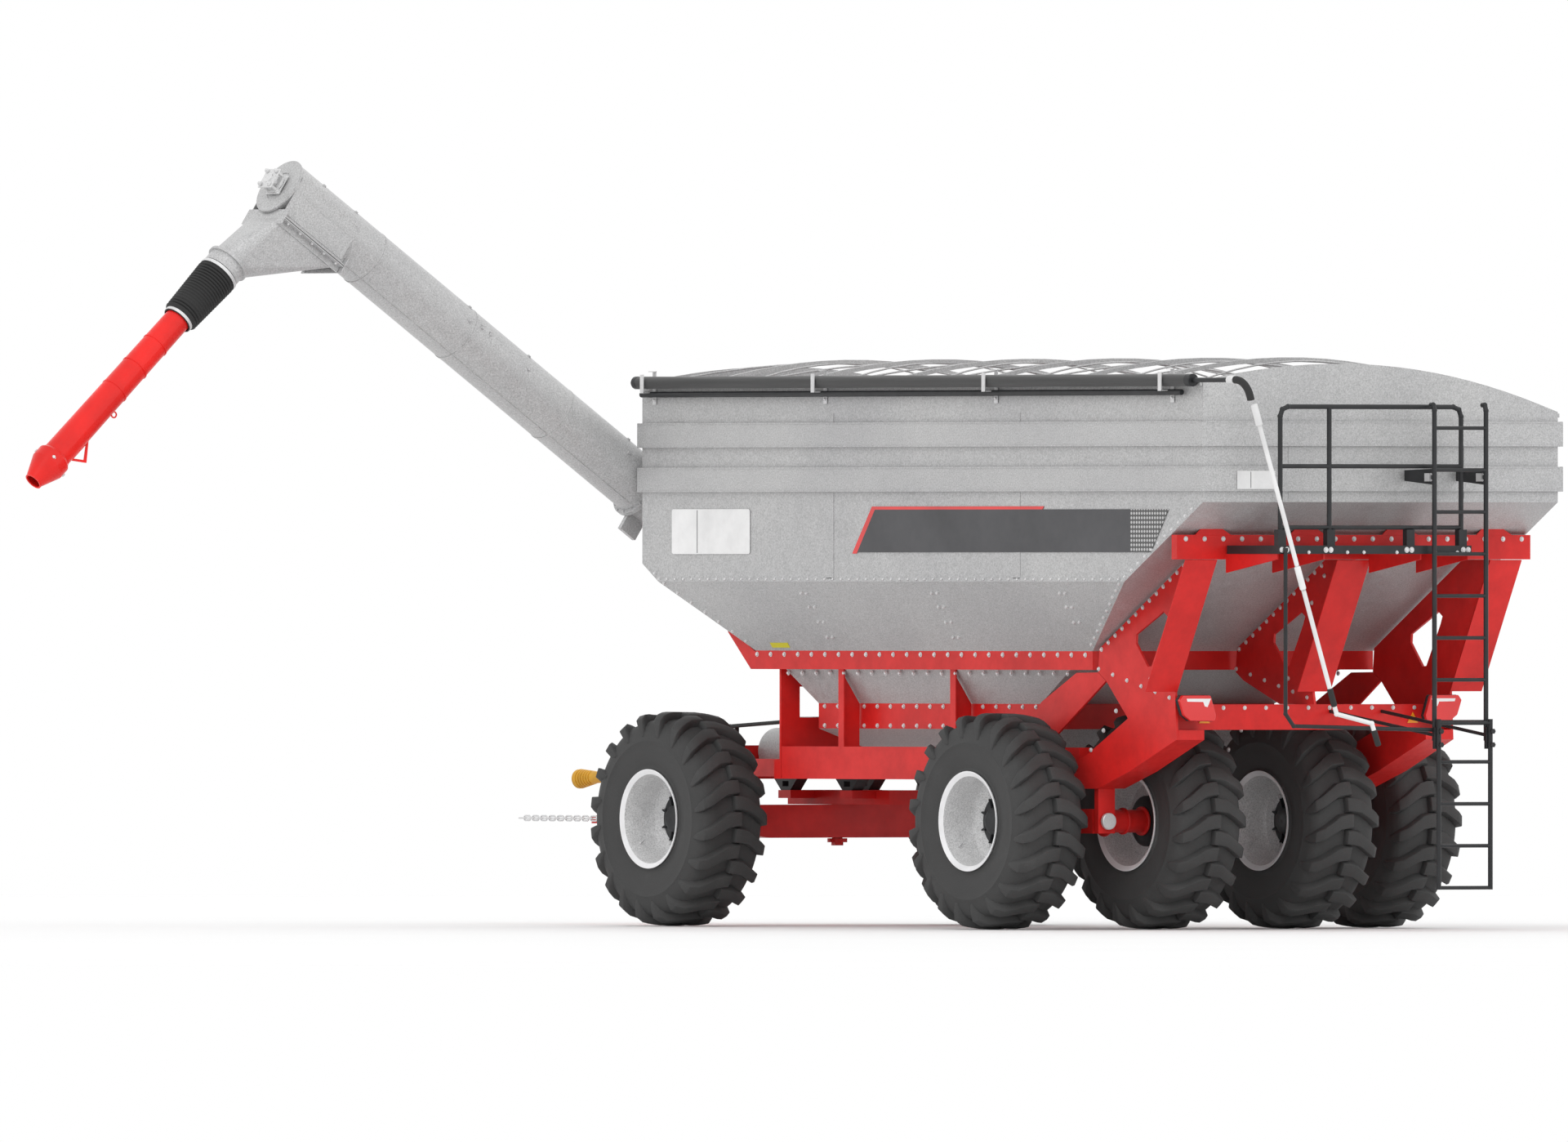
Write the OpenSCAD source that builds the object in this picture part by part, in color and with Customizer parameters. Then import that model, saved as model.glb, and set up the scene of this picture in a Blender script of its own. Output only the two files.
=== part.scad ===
// Towed grain cart: a galvanised hopper on a red frame, with a steering front axle, two pairs of
// rear wheels on rockers, a folding unloading auger, a roll-up cover, a platform and a ladder.
// The origin is the centre of the drawbar eye. +X is the way the cart travels, +Y is its left side.

/* [Hopper] */
// Length of the hopper between its end walls
hopper_len = 7220; // [6900:20:7600]
// Width of the hopper over its side walls
hopper_w = 3230; // [3100:10:3400]
// Thickness of the hopper sheet
sheet_t = 8; // [6:1:12]
// Height of the left side wall's top above the ground
left_top = 4060; // [3980:10:4200]
// Height of the right side wall's top above the ground
right_top = 3830; // [3800:10:3900]
// Height of the crown of the end walls
crown_top = 4185; // [4120:5:4300]
// Height where the side walls start to slope in
side_knee = 2575; // [2500:5:2650]
// Height where the front wall starts to slope in
front_knee = 2710; // [2600:5:2800]
// Height where the rear wall starts to slope in
rear_knee = 3163; // [3060:5:3200]
// Height that the ribs stand out of the walls
rib_out = 28; // [15:1:40]

/* [Frame] */
// Height of the hopper's bottom rail
rail_h = 139; // [120:1:160]
// Height of the hopper's bottom opening above the ground
rail_top = 2060; // [2040:5:2080]
// Width of the frame over its long rails
frame_w = 2484; // [2460:4:2484]
// Thickness of the frame's plates
plate_t = 20; // [12:1:20]
// Height of the long rails
long_rail_h = 242; // [220:2:250]
// Width of the long rails
long_rail_w = 120; // [100:5:140]

/* [Wheels] */
// Radius of the tyres over their lugs
tyre_r = 802; // [780:1:805]
// Width of the tyres
tyre_w = 587; // [540:1:600]
// Radius of the rims at their lips
rim_r = 372; // [350:1:380]
// Width of the rims over their lips
rim_w = 560; // [500:5:575]
// Radius of the hubs
hub_r = 190; // [170:5:200]
// Half of the front wheel track
front_track = 1452; // [1430:2:1500]
// Distance of the outer rear wheels from the centre line
outer_track = 1709; // [1700:1:1760]
// Distance of the inner rear wheels from the centre line
inner_track = 606; // [560:2:610]
// How far each rear wheel stands ahead of or behind its rocker's middle
stagger = 236; // [200:2:240]

/* [Auger] */
// Outer diameter of the auger tubes
auger_d = 440; // [400:5:460]
// Slope of the auger in degrees
auger_tilt = 34.3; // [32:0.1:36]
// Length of the upper auger tube
upper_len = 3960; // [3600:20:4200]
// Radius of the spout at its top
spout_r = 100; // [90:1:104]
// Length of the spout
spout_len = 1800; // [1500:20:1900]
// Gap between the two tubes' flanges
flange_gap = 1; // [0.5:0.5:3]

/* [Hitch] */
// Height of the drawbar eye above the ground
hitch_h = 780; // [740:5:820]
// Distance from the drawbar eye back to the hopper's front wall
hitch_reach = 2850; // [2800:10:3100]
// Bore of the drawbar eye
eye_d = 50; // [40:1:60]
// Radius of the kingpin
kingpin_r = 40; // [35:1:45]
// Radius of the rocker pins
rocker_pin_r = 45; // [40:1:50]
// Radial clearance of the running fits
run_gap = 0.05; // [0.02:0.01:0.1]

/* [Access] */
// Width of the ladder over its stiles
ladder_w = 470; // [420:10:500]
// Distance between ladder rungs
rung_pitch = 310; // [290:5:310]
// Diameter of the ladder and railing tubes
rail_tube = 36; // [30:1:42]

/* [Hidden] */
$fn = 64;

red = "crimson";
zinc = "lightsteelblue";
black = "#2b2b2b";

half_w = hopper_w / 2;
front_low = 1000;
rear_ref = 7220;
rear_shift = hopper_len - rear_ref;
rear_base = 5342;
rear_low = rear_base + rear_shift;
rail_low = rail_top - rail_h;
rear_run = (hopper_len - rear_low) / (rear_knee - rail_top);
frame_half = frame_w / 2;
rail_half = frame_half + 37;
rib_low = 3242;
rib_high = 3575;
rib_h = 182;
funnel_x = [1323, rear_low - 352];
funnel_y = frame_half - 12;
mid_x = [1515, rear_low - 962];
mid_y = frame_half - 176;
mid_top = 1667;
mid_low = 1479;
trough_x = [1900, rear_low - 1342];
trough_y = 230;
trough_low = 1100;
long_top = 1345;
long_low = long_top - long_rail_h;
bulk_x = 1255;
axle_z = 800;
front_x = 242;
rocker_x = 4975;
rocker_y = (outer_track + inner_track) / 2;
outer_x = rocker_x - stagger;
inner_x = rocker_x + stagger;
hub_in = 159;
hub_t = 127;
hinge_y = 1437;
hinge_z = 3285;
auger_r = auger_d / 2;
auger_x = -auger_r - 70;
foot_half = auger_r - 10;
roll_z = 4062;
roll_y = half_w + 66;
ladder_x = 7620;
ladder_y = -434;
platform_y = [-580, 1170];
rail_x = 7530;
post_x = [2054, 3497];
bow_x = [900, 2050, 3200, 4350, 5500, 6500];

// Places a part given as distance behind the hopper's front wall, distance left, height above ground.
module cart() translate([-hitch_reach, 0, -hitch_h]) mirror([1, 0, 0]) children();

// The parts at the cart's rear keep their distance from the hopper's rear wall.
module rear() translate([rear_shift, 0, 0]) children();

// A box from one corner to the other.
module span(p, q) translate(p) cube([q[0] - p[0], q[1] - p[1], q[2] - p[2]]);

// Both sides of the cart.
module both() {
    children();
    mirror([0, 1, 0]) children();
}

// A plate in the upright plane along the cart, from y0 to y1.
module side_plate(points, y0, y1)
    translate([0, y1, 0]) rotate([90, 0, 0]) linear_extrude(y1 - y0) polygon(points);

// A plate across the cart, from x0 to x1, drawn as left and height.
module cross_plate(points, x0, x1)
    translate([x0, 0, 0]) rotate([90, 0, 90]) linear_extrude(x1 - x0) polygon(points);

// A round bar between two points.
module bar(p, q, d) {
    v = q - p;
    translate(p)
        rotate([0, acos(v[2] / norm(v)), atan2(v[1], v[0])])
            cylinder(h = norm(v), d = d, $fn = 24);
}

// A round bar bent at each point of a path.
module bent(path, d) {
    for (i = [1:len(path) - 1]) bar(path[i - 1], path[i], d);
    for (i = [1:len(path) - 2]) translate(path[i]) sphere(d = d * 1.16, $fn = 24);
}

// ---------------------------------------------------------------- hopper

// Solid of the hopper's inside or outside, t in from the outer faces.
module hopper_solid(t, top, low) {
    reach = t * 1.6;
    run = (rail_half - half_w) / (side_knee - rail_top);
    intersection() {
        side_plate([
            [t, top], [t, front_knee - t * 0.4], [front_low + reach, rail_top],
            [front_low + reach, low], [rear_low - reach, low], [rear_low - reach, rail_top],
            [hopper_len - t, rear_knee + t * 0.4], [hopper_len - t, top]
        ], -half_w, half_w);
        cross_plate([
            [half_w - t, top], [half_w - t, side_knee], [rail_half - t, rail_top],
            [rail_half - t, low], [t - rail_half, low], [t - rail_half, rail_top],
            [t - half_w, side_knee], [t - half_w, top]
        ], 0, hopper_len);
    }
}

module hopper_shell() color(zinc) cart() {
    difference() {
        hopper_solid(0, left_top, rail_top);
        hopper_solid(sheet_t, left_top + 1, rail_top - 1);
        span([-1, -half_w - 1, right_top], [hopper_len + 1, -half_w + 60, left_top + 1]);
        span([-1, -half_w - 1, right_top], [sheet_t + 1, half_w + 1, left_top + 1]);
        span([hopper_len - sheet_t - 1, -half_w - 1, right_top],
            [hopper_len + 1, half_w + 1, left_top + 1]);
    }
}

module rib(z) difference() {
    span([-rib_out, -half_w - rib_out, z], [hopper_len + rib_out, half_w + rib_out, z + rib_h]);
    span([0, -half_w, z - 1], [hopper_len, half_w, z + rib_h + 1]);
}

module hopper_ribs() color(zinc) cart() {
    rib(rib_low);
    rib(rib_high);
}

// Outline of an end wall's crown, rising from the right wall's top to the left wall's top.
function crown(n) = [
    for (i = [0:n])
    let (y = half_w - i * 2 * half_w / n, k = y > 356 ? (left_top - crown_top) / pow(half_w - 356, 2)
        : (right_top - crown_top) / pow(half_w + 356, 2))
    [y, crown_top + k * pow(y - 356, 2) + (i == n ? 2 : 0)]
];

module end_gables() color(zinc) cart() {
    points = concat([[-half_w, right_top]], [[half_w, right_top]], crown(20));
    cross_plate(points, 0, sheet_t);
    cross_plate(points, hopper_len - sheet_t, hopper_len);
}

module lower_rail() color(red) cart() {
    difference() {
        span([front_low, -rail_half, rail_low], [rear_low, rail_half, rail_top]);
        span([front_low + 20, 20 - rail_half, rail_low + 10],
            [rear_low - 20, rail_half - 20, rail_top + 1]);
        span([funnel_x[0] + 1, 1 - funnel_y, rail_low - 1],
            [funnel_x[1] - 1, funnel_y - 1, rail_top]);
    }
    for (s = [-1, 1])
        side_plate([
            [front_low - 1, rail_low], [front_low - 1, rail_top - 20],
            [640, 2230], [620, 2200], [front_low - 80, rail_low]
        ], s * 1260 - 8, s * 1260 + 8);
}

// Solid between two openings, sheet t in.
module taper(x, y, z, t) intersection() {
    side_plate([
        [x[0][0] + t, z[0]], [x[1][0] + t, z[1]], [x[1][1] - t, z[1]], [x[0][1] - t, z[0]]
    ], -y[0] - 1, y[0] + 1);
    cross_plate([
        [y[0] - t, z[0]], [y[1] - t, z[1]], [t - y[1], z[1]], [t - y[0], z[0]]
    ], x[0][0] - 1, x[0][1] + 1);
}

module funnel() color(zinc) cart() difference() {
    taper([funnel_x, mid_x], [funnel_y, mid_y], [rail_low, mid_top], 0);
    taper([funnel_x, mid_x], [funnel_y, mid_y], [rail_low + 0.1, mid_top - 0.1], sheet_t);
}

module mid_rail() color(red) cart() difference() {
    span([mid_x[0], -mid_y, mid_low], [mid_x[1], mid_y, mid_top]);
    span([mid_x[0] + 16, 16 - mid_y, mid_low - 1], [mid_x[1] - 16, mid_y - 16, mid_top + 1]);
}

module trough() color(zinc) cart() difference() {
    taper([mid_x, trough_x], [mid_y, trough_y], [mid_low, trough_low], 0);
    taper([mid_x, trough_x], [mid_y, trough_y], [mid_low + 0.1, trough_low + sheet_t], sheet_t);
    translate([mid_x[0] - 10, 0, 1300]) rotate([0, 90, 0]) cylinder(h = 800, r = 178);
}

// Level tube under the hopper that feeds the foot of the unloading auger.
module auger_housing() color(zinc) cart() {
    difference() {
        union() {
            translate([-540, 0, 1300]) rotate([0, 90, 0]) cylinder(h = 2115, r = 176);
            span([auger_x - foot_half, -760, 1250], [auger_x + foot_half, 0, 1560]);
            span([auger_x - foot_half, -760, 1560], [auger_x + foot_half, -430, 1660]);
        }
        translate([-530, 0, 1300]) rotate([0, 90, 0]) cylinder(h = 2106, r = 170);
        span([auger_x - foot_half + 8, -752, 1258], [auger_x + foot_half - 8, 0, 1552]);
        span([auger_x - foot_half + 8, -752, 1540], [auger_x + foot_half - 8, -438, 1661]);
    }
}

// Rows of bolt heads along the rails.
module rail_bolts() color("silver") cart() {
    for (s = [-1, 1], i = [0:floor((rear_low - front_low - 184) / 189)])
        translate([front_low + 90 + i * 189, s * rail_half, rail_top - 28])
            rotate([-90 * s, 0, 0]) cylinder(h = 10, d = 30, $fn = 16);
    for (i = [0:20])
        translate([6880 + rear_shift, -1500 + i * 150, 2895])
            rotate([0, 90, 0]) cylinder(h = 10, d = 30, $fn = 16);
}

// ---------------------------------------------------------------- frame

module low_rails() color(red) cart() both() difference() {
    span([bulk_x + plate_t + 5, frame_half - long_rail_w, long_low], [rear_low - 222, frame_half, long_top]);
    span([bulk_x + plate_t + 4, frame_half - long_rail_w + 10, long_low + 10],
        [rear_low - 232, frame_half - 10, long_top - 10]);
}

module front_bulkhead() color(red) cart() difference() {
    span([bulk_x, -frame_half, long_low], [bulk_x + plate_t, frame_half, rail_low]);
    for (s = [-1, 1]) {
        span([bulk_x - 1, s * 940 - 130, 1560], [bulk_x + plate_t + 1, s * 940 + 130, 1790]);
        span([bulk_x - 1, s * 620 - 90, 1360], [bulk_x + plate_t + 1, s * 620 + 90, 1500]);
    }
    translate([bulk_x - 1, 0, 1300]) rotate([0, 90, 0]) cylinder(h = plate_t + 2, r = 178);
}

module posts() color(red) cart() both() for (x = post_x) {
    span([x - 35, frame_half - 12, long_top], [x + 35, frame_half, rail_low]);
    cross_plate([
        [frame_half - 12, long_top], [frame_half - 12, rail_low - 60], [funnel_y - 20, rail_low - 60],
        [mid_y + 12, mid_top], [mid_y + 12, long_top]
    ], x - 6, x + 6);
}

module rear_band() color(red) cart() rear() {
    difference() {
        span([6812, -1610, 2740], [6880, 1610, 2921]);
        span([6800, -1600, 2750], [6868, 1600, 2911]);
    }
    for (y = [platform_y[1] - 10, platform_y[1] - 430, platform_y[0] + 440, platform_y[0] + 10])
        side_plate([[6879, 2640], [6879, 2780], [rail_x, 2780], [rail_x, 2740]], y - 6, y + 6);
}

// Distance behind the front wall of the rear slope, at height z.
function slope_x(z) = rear_base + (z - rail_top) * rear_run;

module frame_plate(low) difference() {
    side_plate(concat([
        [slope_x(2080) + 30, 2080], [slope_x(2738) + 30, 2738], [6880, 2738], [6369, 1757],
        [6387, low ? 1406 : 1667]], low ? [
        [5787, 1170], [5375, 1042], [5139, 1042], [5139, 1260], [5242, 1291], [5769, 1563]
    ] : [[5950, 1667]], [[5490, 1842], [5390, 1905]]), 0, plate_t);
    side_plate([
        [6221, 2354], [6275, 2318], [6250, 2260], [6070, 1950], [6020, 1945], [5870, 2120],
        [5875, 2185]
    ], -1, plate_t + 1);
}

// Diagonal brace from an A-frame forward to its long rail.
module brace() side_plate([
    [5115, 1900], [5388, 1903], [5489, 1840], [4860, 1440], [4730, long_top], [4330, long_top],
    [4660, 1680]
], 0, plate_t);

module a_frames() color(red) cart() rear() {
    both() translate([0, frame_half + 1, 0]) {
        frame_plate(true);
        translate([-1, 0, 0]) brace();
    }
    translate([0, -plate_t / 2, 0]) frame_plate(false);
}

module rear_beam() color(red) cart() rear() difference() {
    span([6150, -frame_half - 1, 1479], [6300, frame_half + 1, 1667]);
    span([6160, -frame_half + 10, 1489], [6290, frame_half - 10, 1657]);
}

// Box leg inside each A-frame, with the two hangers that hold a rocker's pin.
module legs() color(red) cart() rear() both() {
    difference() {
        side_plate([
            [6387, 1406], [5787, 1170], [5375, 1042], [5139, 1042], [5139, 1260], [5242, 1291],
            [5769, 1478], [6387, 1478]
        ], 1010, frame_half + 1);
        side_plate([
            [6200, 1400], [5787, 1200], [5400, 1075], [5250, 1075], [5250, 1240], [5769, 1420]
        ], 1030, frame_half - 20);
    }
    for (x = [[outer_x - 139, long_low], [inner_x + 89, 1042]])
        difference() {
            span([x[0], rocker_y - 75, axle_z - 90], [x[0] + 50, rocker_y + 75, x[1]]);
            translate([x[0] - 1, rocker_y, axle_z]) rotate([0, 90, 0])
                cylinder(h = 52, r = rocker_pin_r);
        }
}

module pivot_pins() color("silver") cart() rear() both()
    translate([outer_x - 159, rocker_y, axle_z]) rotate([0, 90, 0])
        cylinder(h = 2 * stagger + 318, r = rocker_pin_r);

module subframe() color(red) cart() {
    both() span([-582, 300, long_low + 10], [bulk_x, 420, 1245]);
    span([-622, -420, long_low - 10], [-582, 420, long_top]);
    span([bulk_x - 70, -frame_half, long_low], [bulk_x, -420, 1245]);
    span([bulk_x - 70, 420, long_low], [bulk_x, frame_half, 1245]);
}

// Trapezoid stands with a weighing cell between the sub-frame and the bolster.
module load_cells() color(black) cart() both() for (x = [150, 950])
    difference() {
        side_plate([
            [x - 150, 1012 + 88], [x - 150, 1012 + 101], [x + 150, 1012 + 101], [x + 150, 1012 + 88],
            [x + 60, 1012], [x - 60, 1012]
        ], 310, 410);
        span([x - 40, 300, 1040], [x + 40, 420, 1080]);
    }

module bolster() color(red) cart() {
    difference() {
        union() {
            span([-120, -200, 905], [1200, 200, 1012]);
            for (x = [150, 950]) span([x - 80, -420, 952], [x + 80, 420, 1012]);
        }
        translate([front_x, 0, 904]) cylinder(h = 109, r = kingpin_r);
    }
    translate([front_x, 0, 650]) cylinder(h = 362, r = kingpin_r);
    translate([front_x, 0, 620]) cylinder(h = 30, r = 75);
    translate([front_x, 0, 596]) cylinder(h = 24, r = 45, $fn = 6);
}

module tail_lights() color("red") cart() rear() both()
    cross_plate([
        [960, 1550], [1010, 1740], [1240, 1740], [1290, 1700], [1240, 1585], [1180, 1550]
    ], 6400, 6470);

// ---------------------------------------------------------------- platform and ladder

module platform() color(black) cart() rear() difference() {
    span([6900, platform_y[0], 2780], [7560, platform_y[1], 2842]);
    span([6910, platform_y[0] + 10, 2779], [7550, platform_y[1] - 10, 2834]);
    for (i = [0:12], j = [0:4])
        span([6940 + j * 120, platform_y[0] + 50 + i * 130, 2833],
            [7030 + j * 120, platform_y[0] + 140 + i * 130, 2843]);
}

rail_y = [platform_y[0] + 74, platform_y[1] - 31];
rail_top_z = 3866;

// Railing along the platform's rear edge, with rounded upper corners.
module railing() color(black) cart() rear() {
    bent([
        [rail_x, rail_y[1], 2842], [rail_x, rail_y[1], rail_top_z - 70],
        [rail_x, rail_y[1] - 20, rail_top_z - 20], [rail_x, rail_y[1] - 70, rail_top_z],
        [rail_x, rail_y[0] + 70, rail_top_z], [rail_x, rail_y[0] + 20, rail_top_z - 20],
        [rail_x, rail_y[0], rail_top_z - 70], [rail_x, rail_y[0], 2842]
    ], rail_tube);
    bar([rail_x, 694, 2842], [rail_x, 694, rail_top_z], rail_tube);
    for (z = [2975, 3427]) bar([rail_x, rail_y[0], z], [rail_x, rail_y[1], z], rail_tube - 4);
    for (y = [rail_y[0], -30, 694, rail_y[1]])
        span([rail_x - 26, y - 36, 2842], [rail_x + 26, y + 36, 2960]);
}

ladder_top = 3880;
ladder_low = 1400;

module rung(x, z) bar([x, ladder_y - ladder_w / 2, z], [x, ladder_y + ladder_w / 2, z], 28);

// Fixed ladder beside the platform with the brackets and stays that hold it.
module ladder() color(black) cart() rear() {
    for (s = [-1, 1]) {
        y = ladder_y + s * ladder_w / 2;
        bent([
            [ladder_x, y, ladder_low], [ladder_x, y, ladder_top - 40],
            [ladder_x - 16, y, ladder_top], [ladder_x - 48, y, ladder_top]
        ], rail_tube);
        side_plate([
            [ladder_x, 3290], [ladder_x, 3410],
            [rear_ref + rib_out + 1, 3400], [rear_ref + rib_out + 1, 3320]
        ], y - 6, y + 6);
        bar([6304, y, 1614], [ladder_x, y, 1442], 26);
    }
    for (i = [0:7]) rung(ladder_x, ladder_low + 140 + i * rung_pitch);
    bent([
        [7580, platform_y[1] - 44, 2800], [7580, platform_y[1] - 44, 1600],
        [7590, platform_y[1] - 110, 1510], [ladder_x, ladder_y + ladder_w / 2, 1480]
    ], 30);
    span([7561, platform_y[1] - 60, 2795], [7590, platform_y[1] - 28, 2825]);
}

// Lower ladder section that folds up for travel.
module ladder_step() color(black) cart() rear() {
    for (s = [-1, 1]) {
        y = ladder_y + s * ladder_w / 2;
        bar([ladder_x + 55, y, 300], [ladder_x + 55, y, 1560], rail_tube);
    }
    for (i = [0:3]) rung(ladder_x + 55, 314 + i * rung_pitch);
    rung(ladder_x + 55, 1530);
}

// ---------------------------------------------------------------- cover

module tarp_brackets() color("silver") cart() for (x = [150, 2270, 4350, 6480]) {
    span([x - 20, half_w, 3900], [x + 20, half_w + 12, 4150]);
    span([x - 20, half_w + 12, 3900], [x + 20, half_w + 130, 3912]);
}

// Arched bars across the open top.
function bow_point(y) = [y, 4235 - (y > 300 ? 165 * pow((y - 300) / (half_w - 300), 2)
    : 395 * pow((y - 300) / (half_w + 300), 2))];

module tarp_bows() color("silver") cart() for (x = bow_x) {
    top = [for (i = [0:16]) bow_point(half_w - 10 - i * (2 * half_w - 20) / 16)];
    low = [for (p = top) p - [0, 32]];
    cross_plate(concat(top, [for (i = [16:-1:0]) low[i]]), x - 16, x + 16);
}

module tarp_roll() color(black) cart() {
    translate([20, roll_y, roll_z]) rotate([0, 90, 0]) cylinder(h = hopper_len - 70, d = 96);
    translate([-20, roll_y, roll_z]) rotate([0, 90, 0]) cylinder(h = 40, d = 60);
    rear() translate([7170, roll_y, roll_z]) rotate([0, 90, 0]) cylinder(h = elbow_x - 7172, d = 36);
}

elbow_x = 7722;
elbow_r = 200;

module crank_elbow() color(black) cart() rear()
    translate([elbow_x, roll_y, roll_z - elbow_r]) rotate([90, 0, 0]) rotate([0, 0, 15])
        rotate_extrude(angle = 75) translate([elbow_r, 0]) circle(d = 56);

crank_top = [7925, 1660, 3880];
crank_low = [7900, 893, 1600];

module crank() color("silver") cart() rear()
    bent([crank_top, crank_low, crank_low + [0, -320, -70], crank_low + [0, -380, -230]], 34);

module side_panels() color("dimgray") cart() {
    side_plate([[2760, 2790], [3000, 3110], [6780, 3110], [6500, 2790]], half_w + 1, half_w + 4);
    side_plate([[390, 2790], [390, 3110], [1400, 3110], [1400, 2790]], half_w + 1, half_w + 4);
    cross_plate([[980, 3260], [980, 3390], [1320, 3390], [1320, 3260]],
        hopper_len + rib_out + 1, hopper_len + rib_out + 4);
}

// ---------------------------------------------------------------- unloading auger

// Places a part along the auger's line: +Z runs up the auger from the fold.
module along_auger() translate([auger_x, hinge_y, hinge_z]) rotate([auger_tilt - 90, 0, 0]) children();

module pipe(z0, z1, r, t) translate([0, 0, z0]) difference() {
    cylinder(h = z1 - z0, r = r);
    translate([0, 0, -1]) cylinder(h = z1 - z0 + 2, r = r - t);
}

module lower_tube() color(zinc) cart() {
    difference() {
        along_auger() {
            pipe(-2400, -flange_gap / 2, auger_r, 6);
            pipe(-16 - flange_gap / 2, -flange_gap / 2, auger_r + 32, 38);
        }
        span([-600, -900, 1000], [0, -430, 1661]);
    }
    for (s = [-1, 1])
        along_auger() translate([0, s * 150, -900]) rotate([0, 90, 0]) cylinder(h = 280, d = 60);
}

module upper_tube() color(zinc) cart() along_auger() {
    difference() {
        union() {
            cylinder_at(flange_gap / 2, upper_len, auger_r);
            cylinder_at(flange_gap / 2, 16, auger_r + 32);
            cylinder_at(upper_len, upper_len + 10, auger_r + 10);
        }
        cylinder_at(-1, upper_len - 1, auger_r - 6);
        translate([0, 0, upper_len - 1]) cylinder(h = 20, r = 40 + 1);
        translate([-150, auger_r - 120, upper_len - 600]) cube([300, 240, 520]);
    }
}

module cylinder_at(z0, z1, r) translate([0, 0, z0]) cylinder(h = z1 - z0, r = r);

module auger_shaft() color("silver") cart() along_auger() {
    cylinder_at(40, upper_len + 130, 40);
    for (z = [upper_len + 40, upper_len + 100]) cylinder_at(z, z + 22, 80);
}

spout_lean = 12.9;
boot_len = 858;
bellows_len = 540;
spout_in = 50;

// Places a part along the spout's line: +Z runs down the spout from the auger's axis.
module along_spout() along_auger() translate([0, 0, upper_len - 100]) rotate([spout_lean - 90, 0, 0])
    children();

module boot_shell(t) hull() {
    along_auger() translate([t - 210, auger_r + 2 - t, upper_len - 640 + t])
        cube([420 - 2 * t, 60, 600 - 2 * t]);
    along_spout() translate([0, 0, boot_len - 100 + t])
        cylinder(h = 10, d = 286 - 2 * t, $fn = 24);
}

// Tapering discharge box under the top of the auger.
module auger_boot() color(zinc) cart() difference() {
    union() {
        boot_shell(0);
        along_spout() translate([0, 0, boot_len - 104]) cylinder(h = 104, d = 304);
        along_spout() translate([0, 0, boot_len - 112]) cylinder(h = 22, d = 340);
    }
    boot_shell(8);
    along_spout() translate([0, 0, boot_len - 95]) cylinder(h = 140, d = 288);
}

module bellows() color(black) cart() along_spout() translate([0, 0, boot_len + 1])
    rotate_extrude() polygon(concat(
        [[124, 0]],
        [for (i = [0:9]) each [[162 - i * 2, i * 50 + 8], [148 - i * 2, i * 50 + 33]]],
        [[142, bellows_len - 14], [124, bellows_len - 14]]));

module spout() color(red) cart() along_spout()
    translate([0, 0, boot_len + bellows_len - spout_in]) {
        rotate_extrude() polygon([
            [spout_r - 8, 0], [spout_r, 0], [spout_r + 10, spout_len - 280],
            [spout_r + 34, spout_len - 250], [spout_r + 34, spout_len - 170], [66, spout_len],
            [58, spout_len], [spout_r + 24, spout_len - 176], [spout_r + 24, spout_len - 244],
            [spout_r + 2, spout_len - 276]
        ]);
        translate([8, spout_r + 2, spout_len - 520]) rotate([0, -90, 0]) linear_extrude(16)
            difference() {
                polygon([[-60, 0], [180, 0], [80, 120]]);
                polygon([[-16, 18], [142, 18], [78, 92]]);
            }
    }

// ---------------------------------------------------------------- front axle and hitch

module axle_beam() color(red) cart() difference() {
    union() {
        cross_plate([
            [-1120, 720], [-1120, 900], [-700, 903], [700, 903], [1120, 900], [1120, 720],
            [700, 655], [-700, 655]
        ], front_x - 110, front_x + 110);
        for (s = [-1, 1]) translate([front_x, s * 1119, axle_z]) rotate([-90 * s, 0, 0])
            cylinder(h = front_track + rim_w / 2 - hub_in - hub_t + 40 - 1119, r = 60);
    }
    translate([front_x, 0, 600]) cylinder(h = 400, r = kingpin_r + run_gap);
    translate([front_x, 0, 600]) cylinder(h = 51, r = 80);
}

module drawbar() color(red) cart() {
    both() difference() {
        linear_extrude_z(720, 860, [
            [front_x - 110, 560], [front_x - 110, 700], [-2560, 130], [-2560, 20]
        ]);
    }
    span([-2560, -130, 720], [-2300, 130, 860]);
    difference() {
        union() {
            span([-2790, -50, hitch_h - 30], [-2560, 50, hitch_h + 30]);
            translate([-hitch_reach, 0, hitch_h - 30]) cylinder(h = 60, r = 75);
        }
        translate([-hitch_reach, 0, hitch_h - 31]) cylinder(h = 62, d = eye_d);
    }
}

module linear_extrude_z(z0, z1, points) translate([0, 0, z0]) linear_extrude(z1 - z0) polygon(points);

// Safety chain run out forward from the drawbar.
module link(x, flat) translate([x, 130, hitch_h]) rotate([flat ? 90 : 0, 0, 0]) difference() {
    linear_extrude(14) union() {
        translate([-22, 0]) circle(r = 24);
        translate([22, 0]) circle(r = 24);
        translate([-22, -24]) square([44, 48]);
    }
    translate([0, 0, -1]) linear_extrude(16) union() {
        translate([-22, 0]) circle(r = 12);
        translate([22, 0]) circle(r = 12);
        translate([-22, -12]) square([44, 24]);
    }
}

module safety_chain() color("silver") cart() {
    for (i = [0:11]) link(-2620 - i * 96, false);
    for (i = [0:10])
        bar([-2650 - i * 96, 130, hitch_h + 7], [-2686 - i * 96, 130, hitch_h + 7], 12);
}

module pto_gearbox() color(black) cart() {
    span([-700, -90, 1130], [-622, 90, 1330]);
    span([-712, -60, 1160], [-700, 60, 1290]);
}

pto_back = [-716, 0, 1224];
pto_front = [-3150, 0, 1085];

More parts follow.
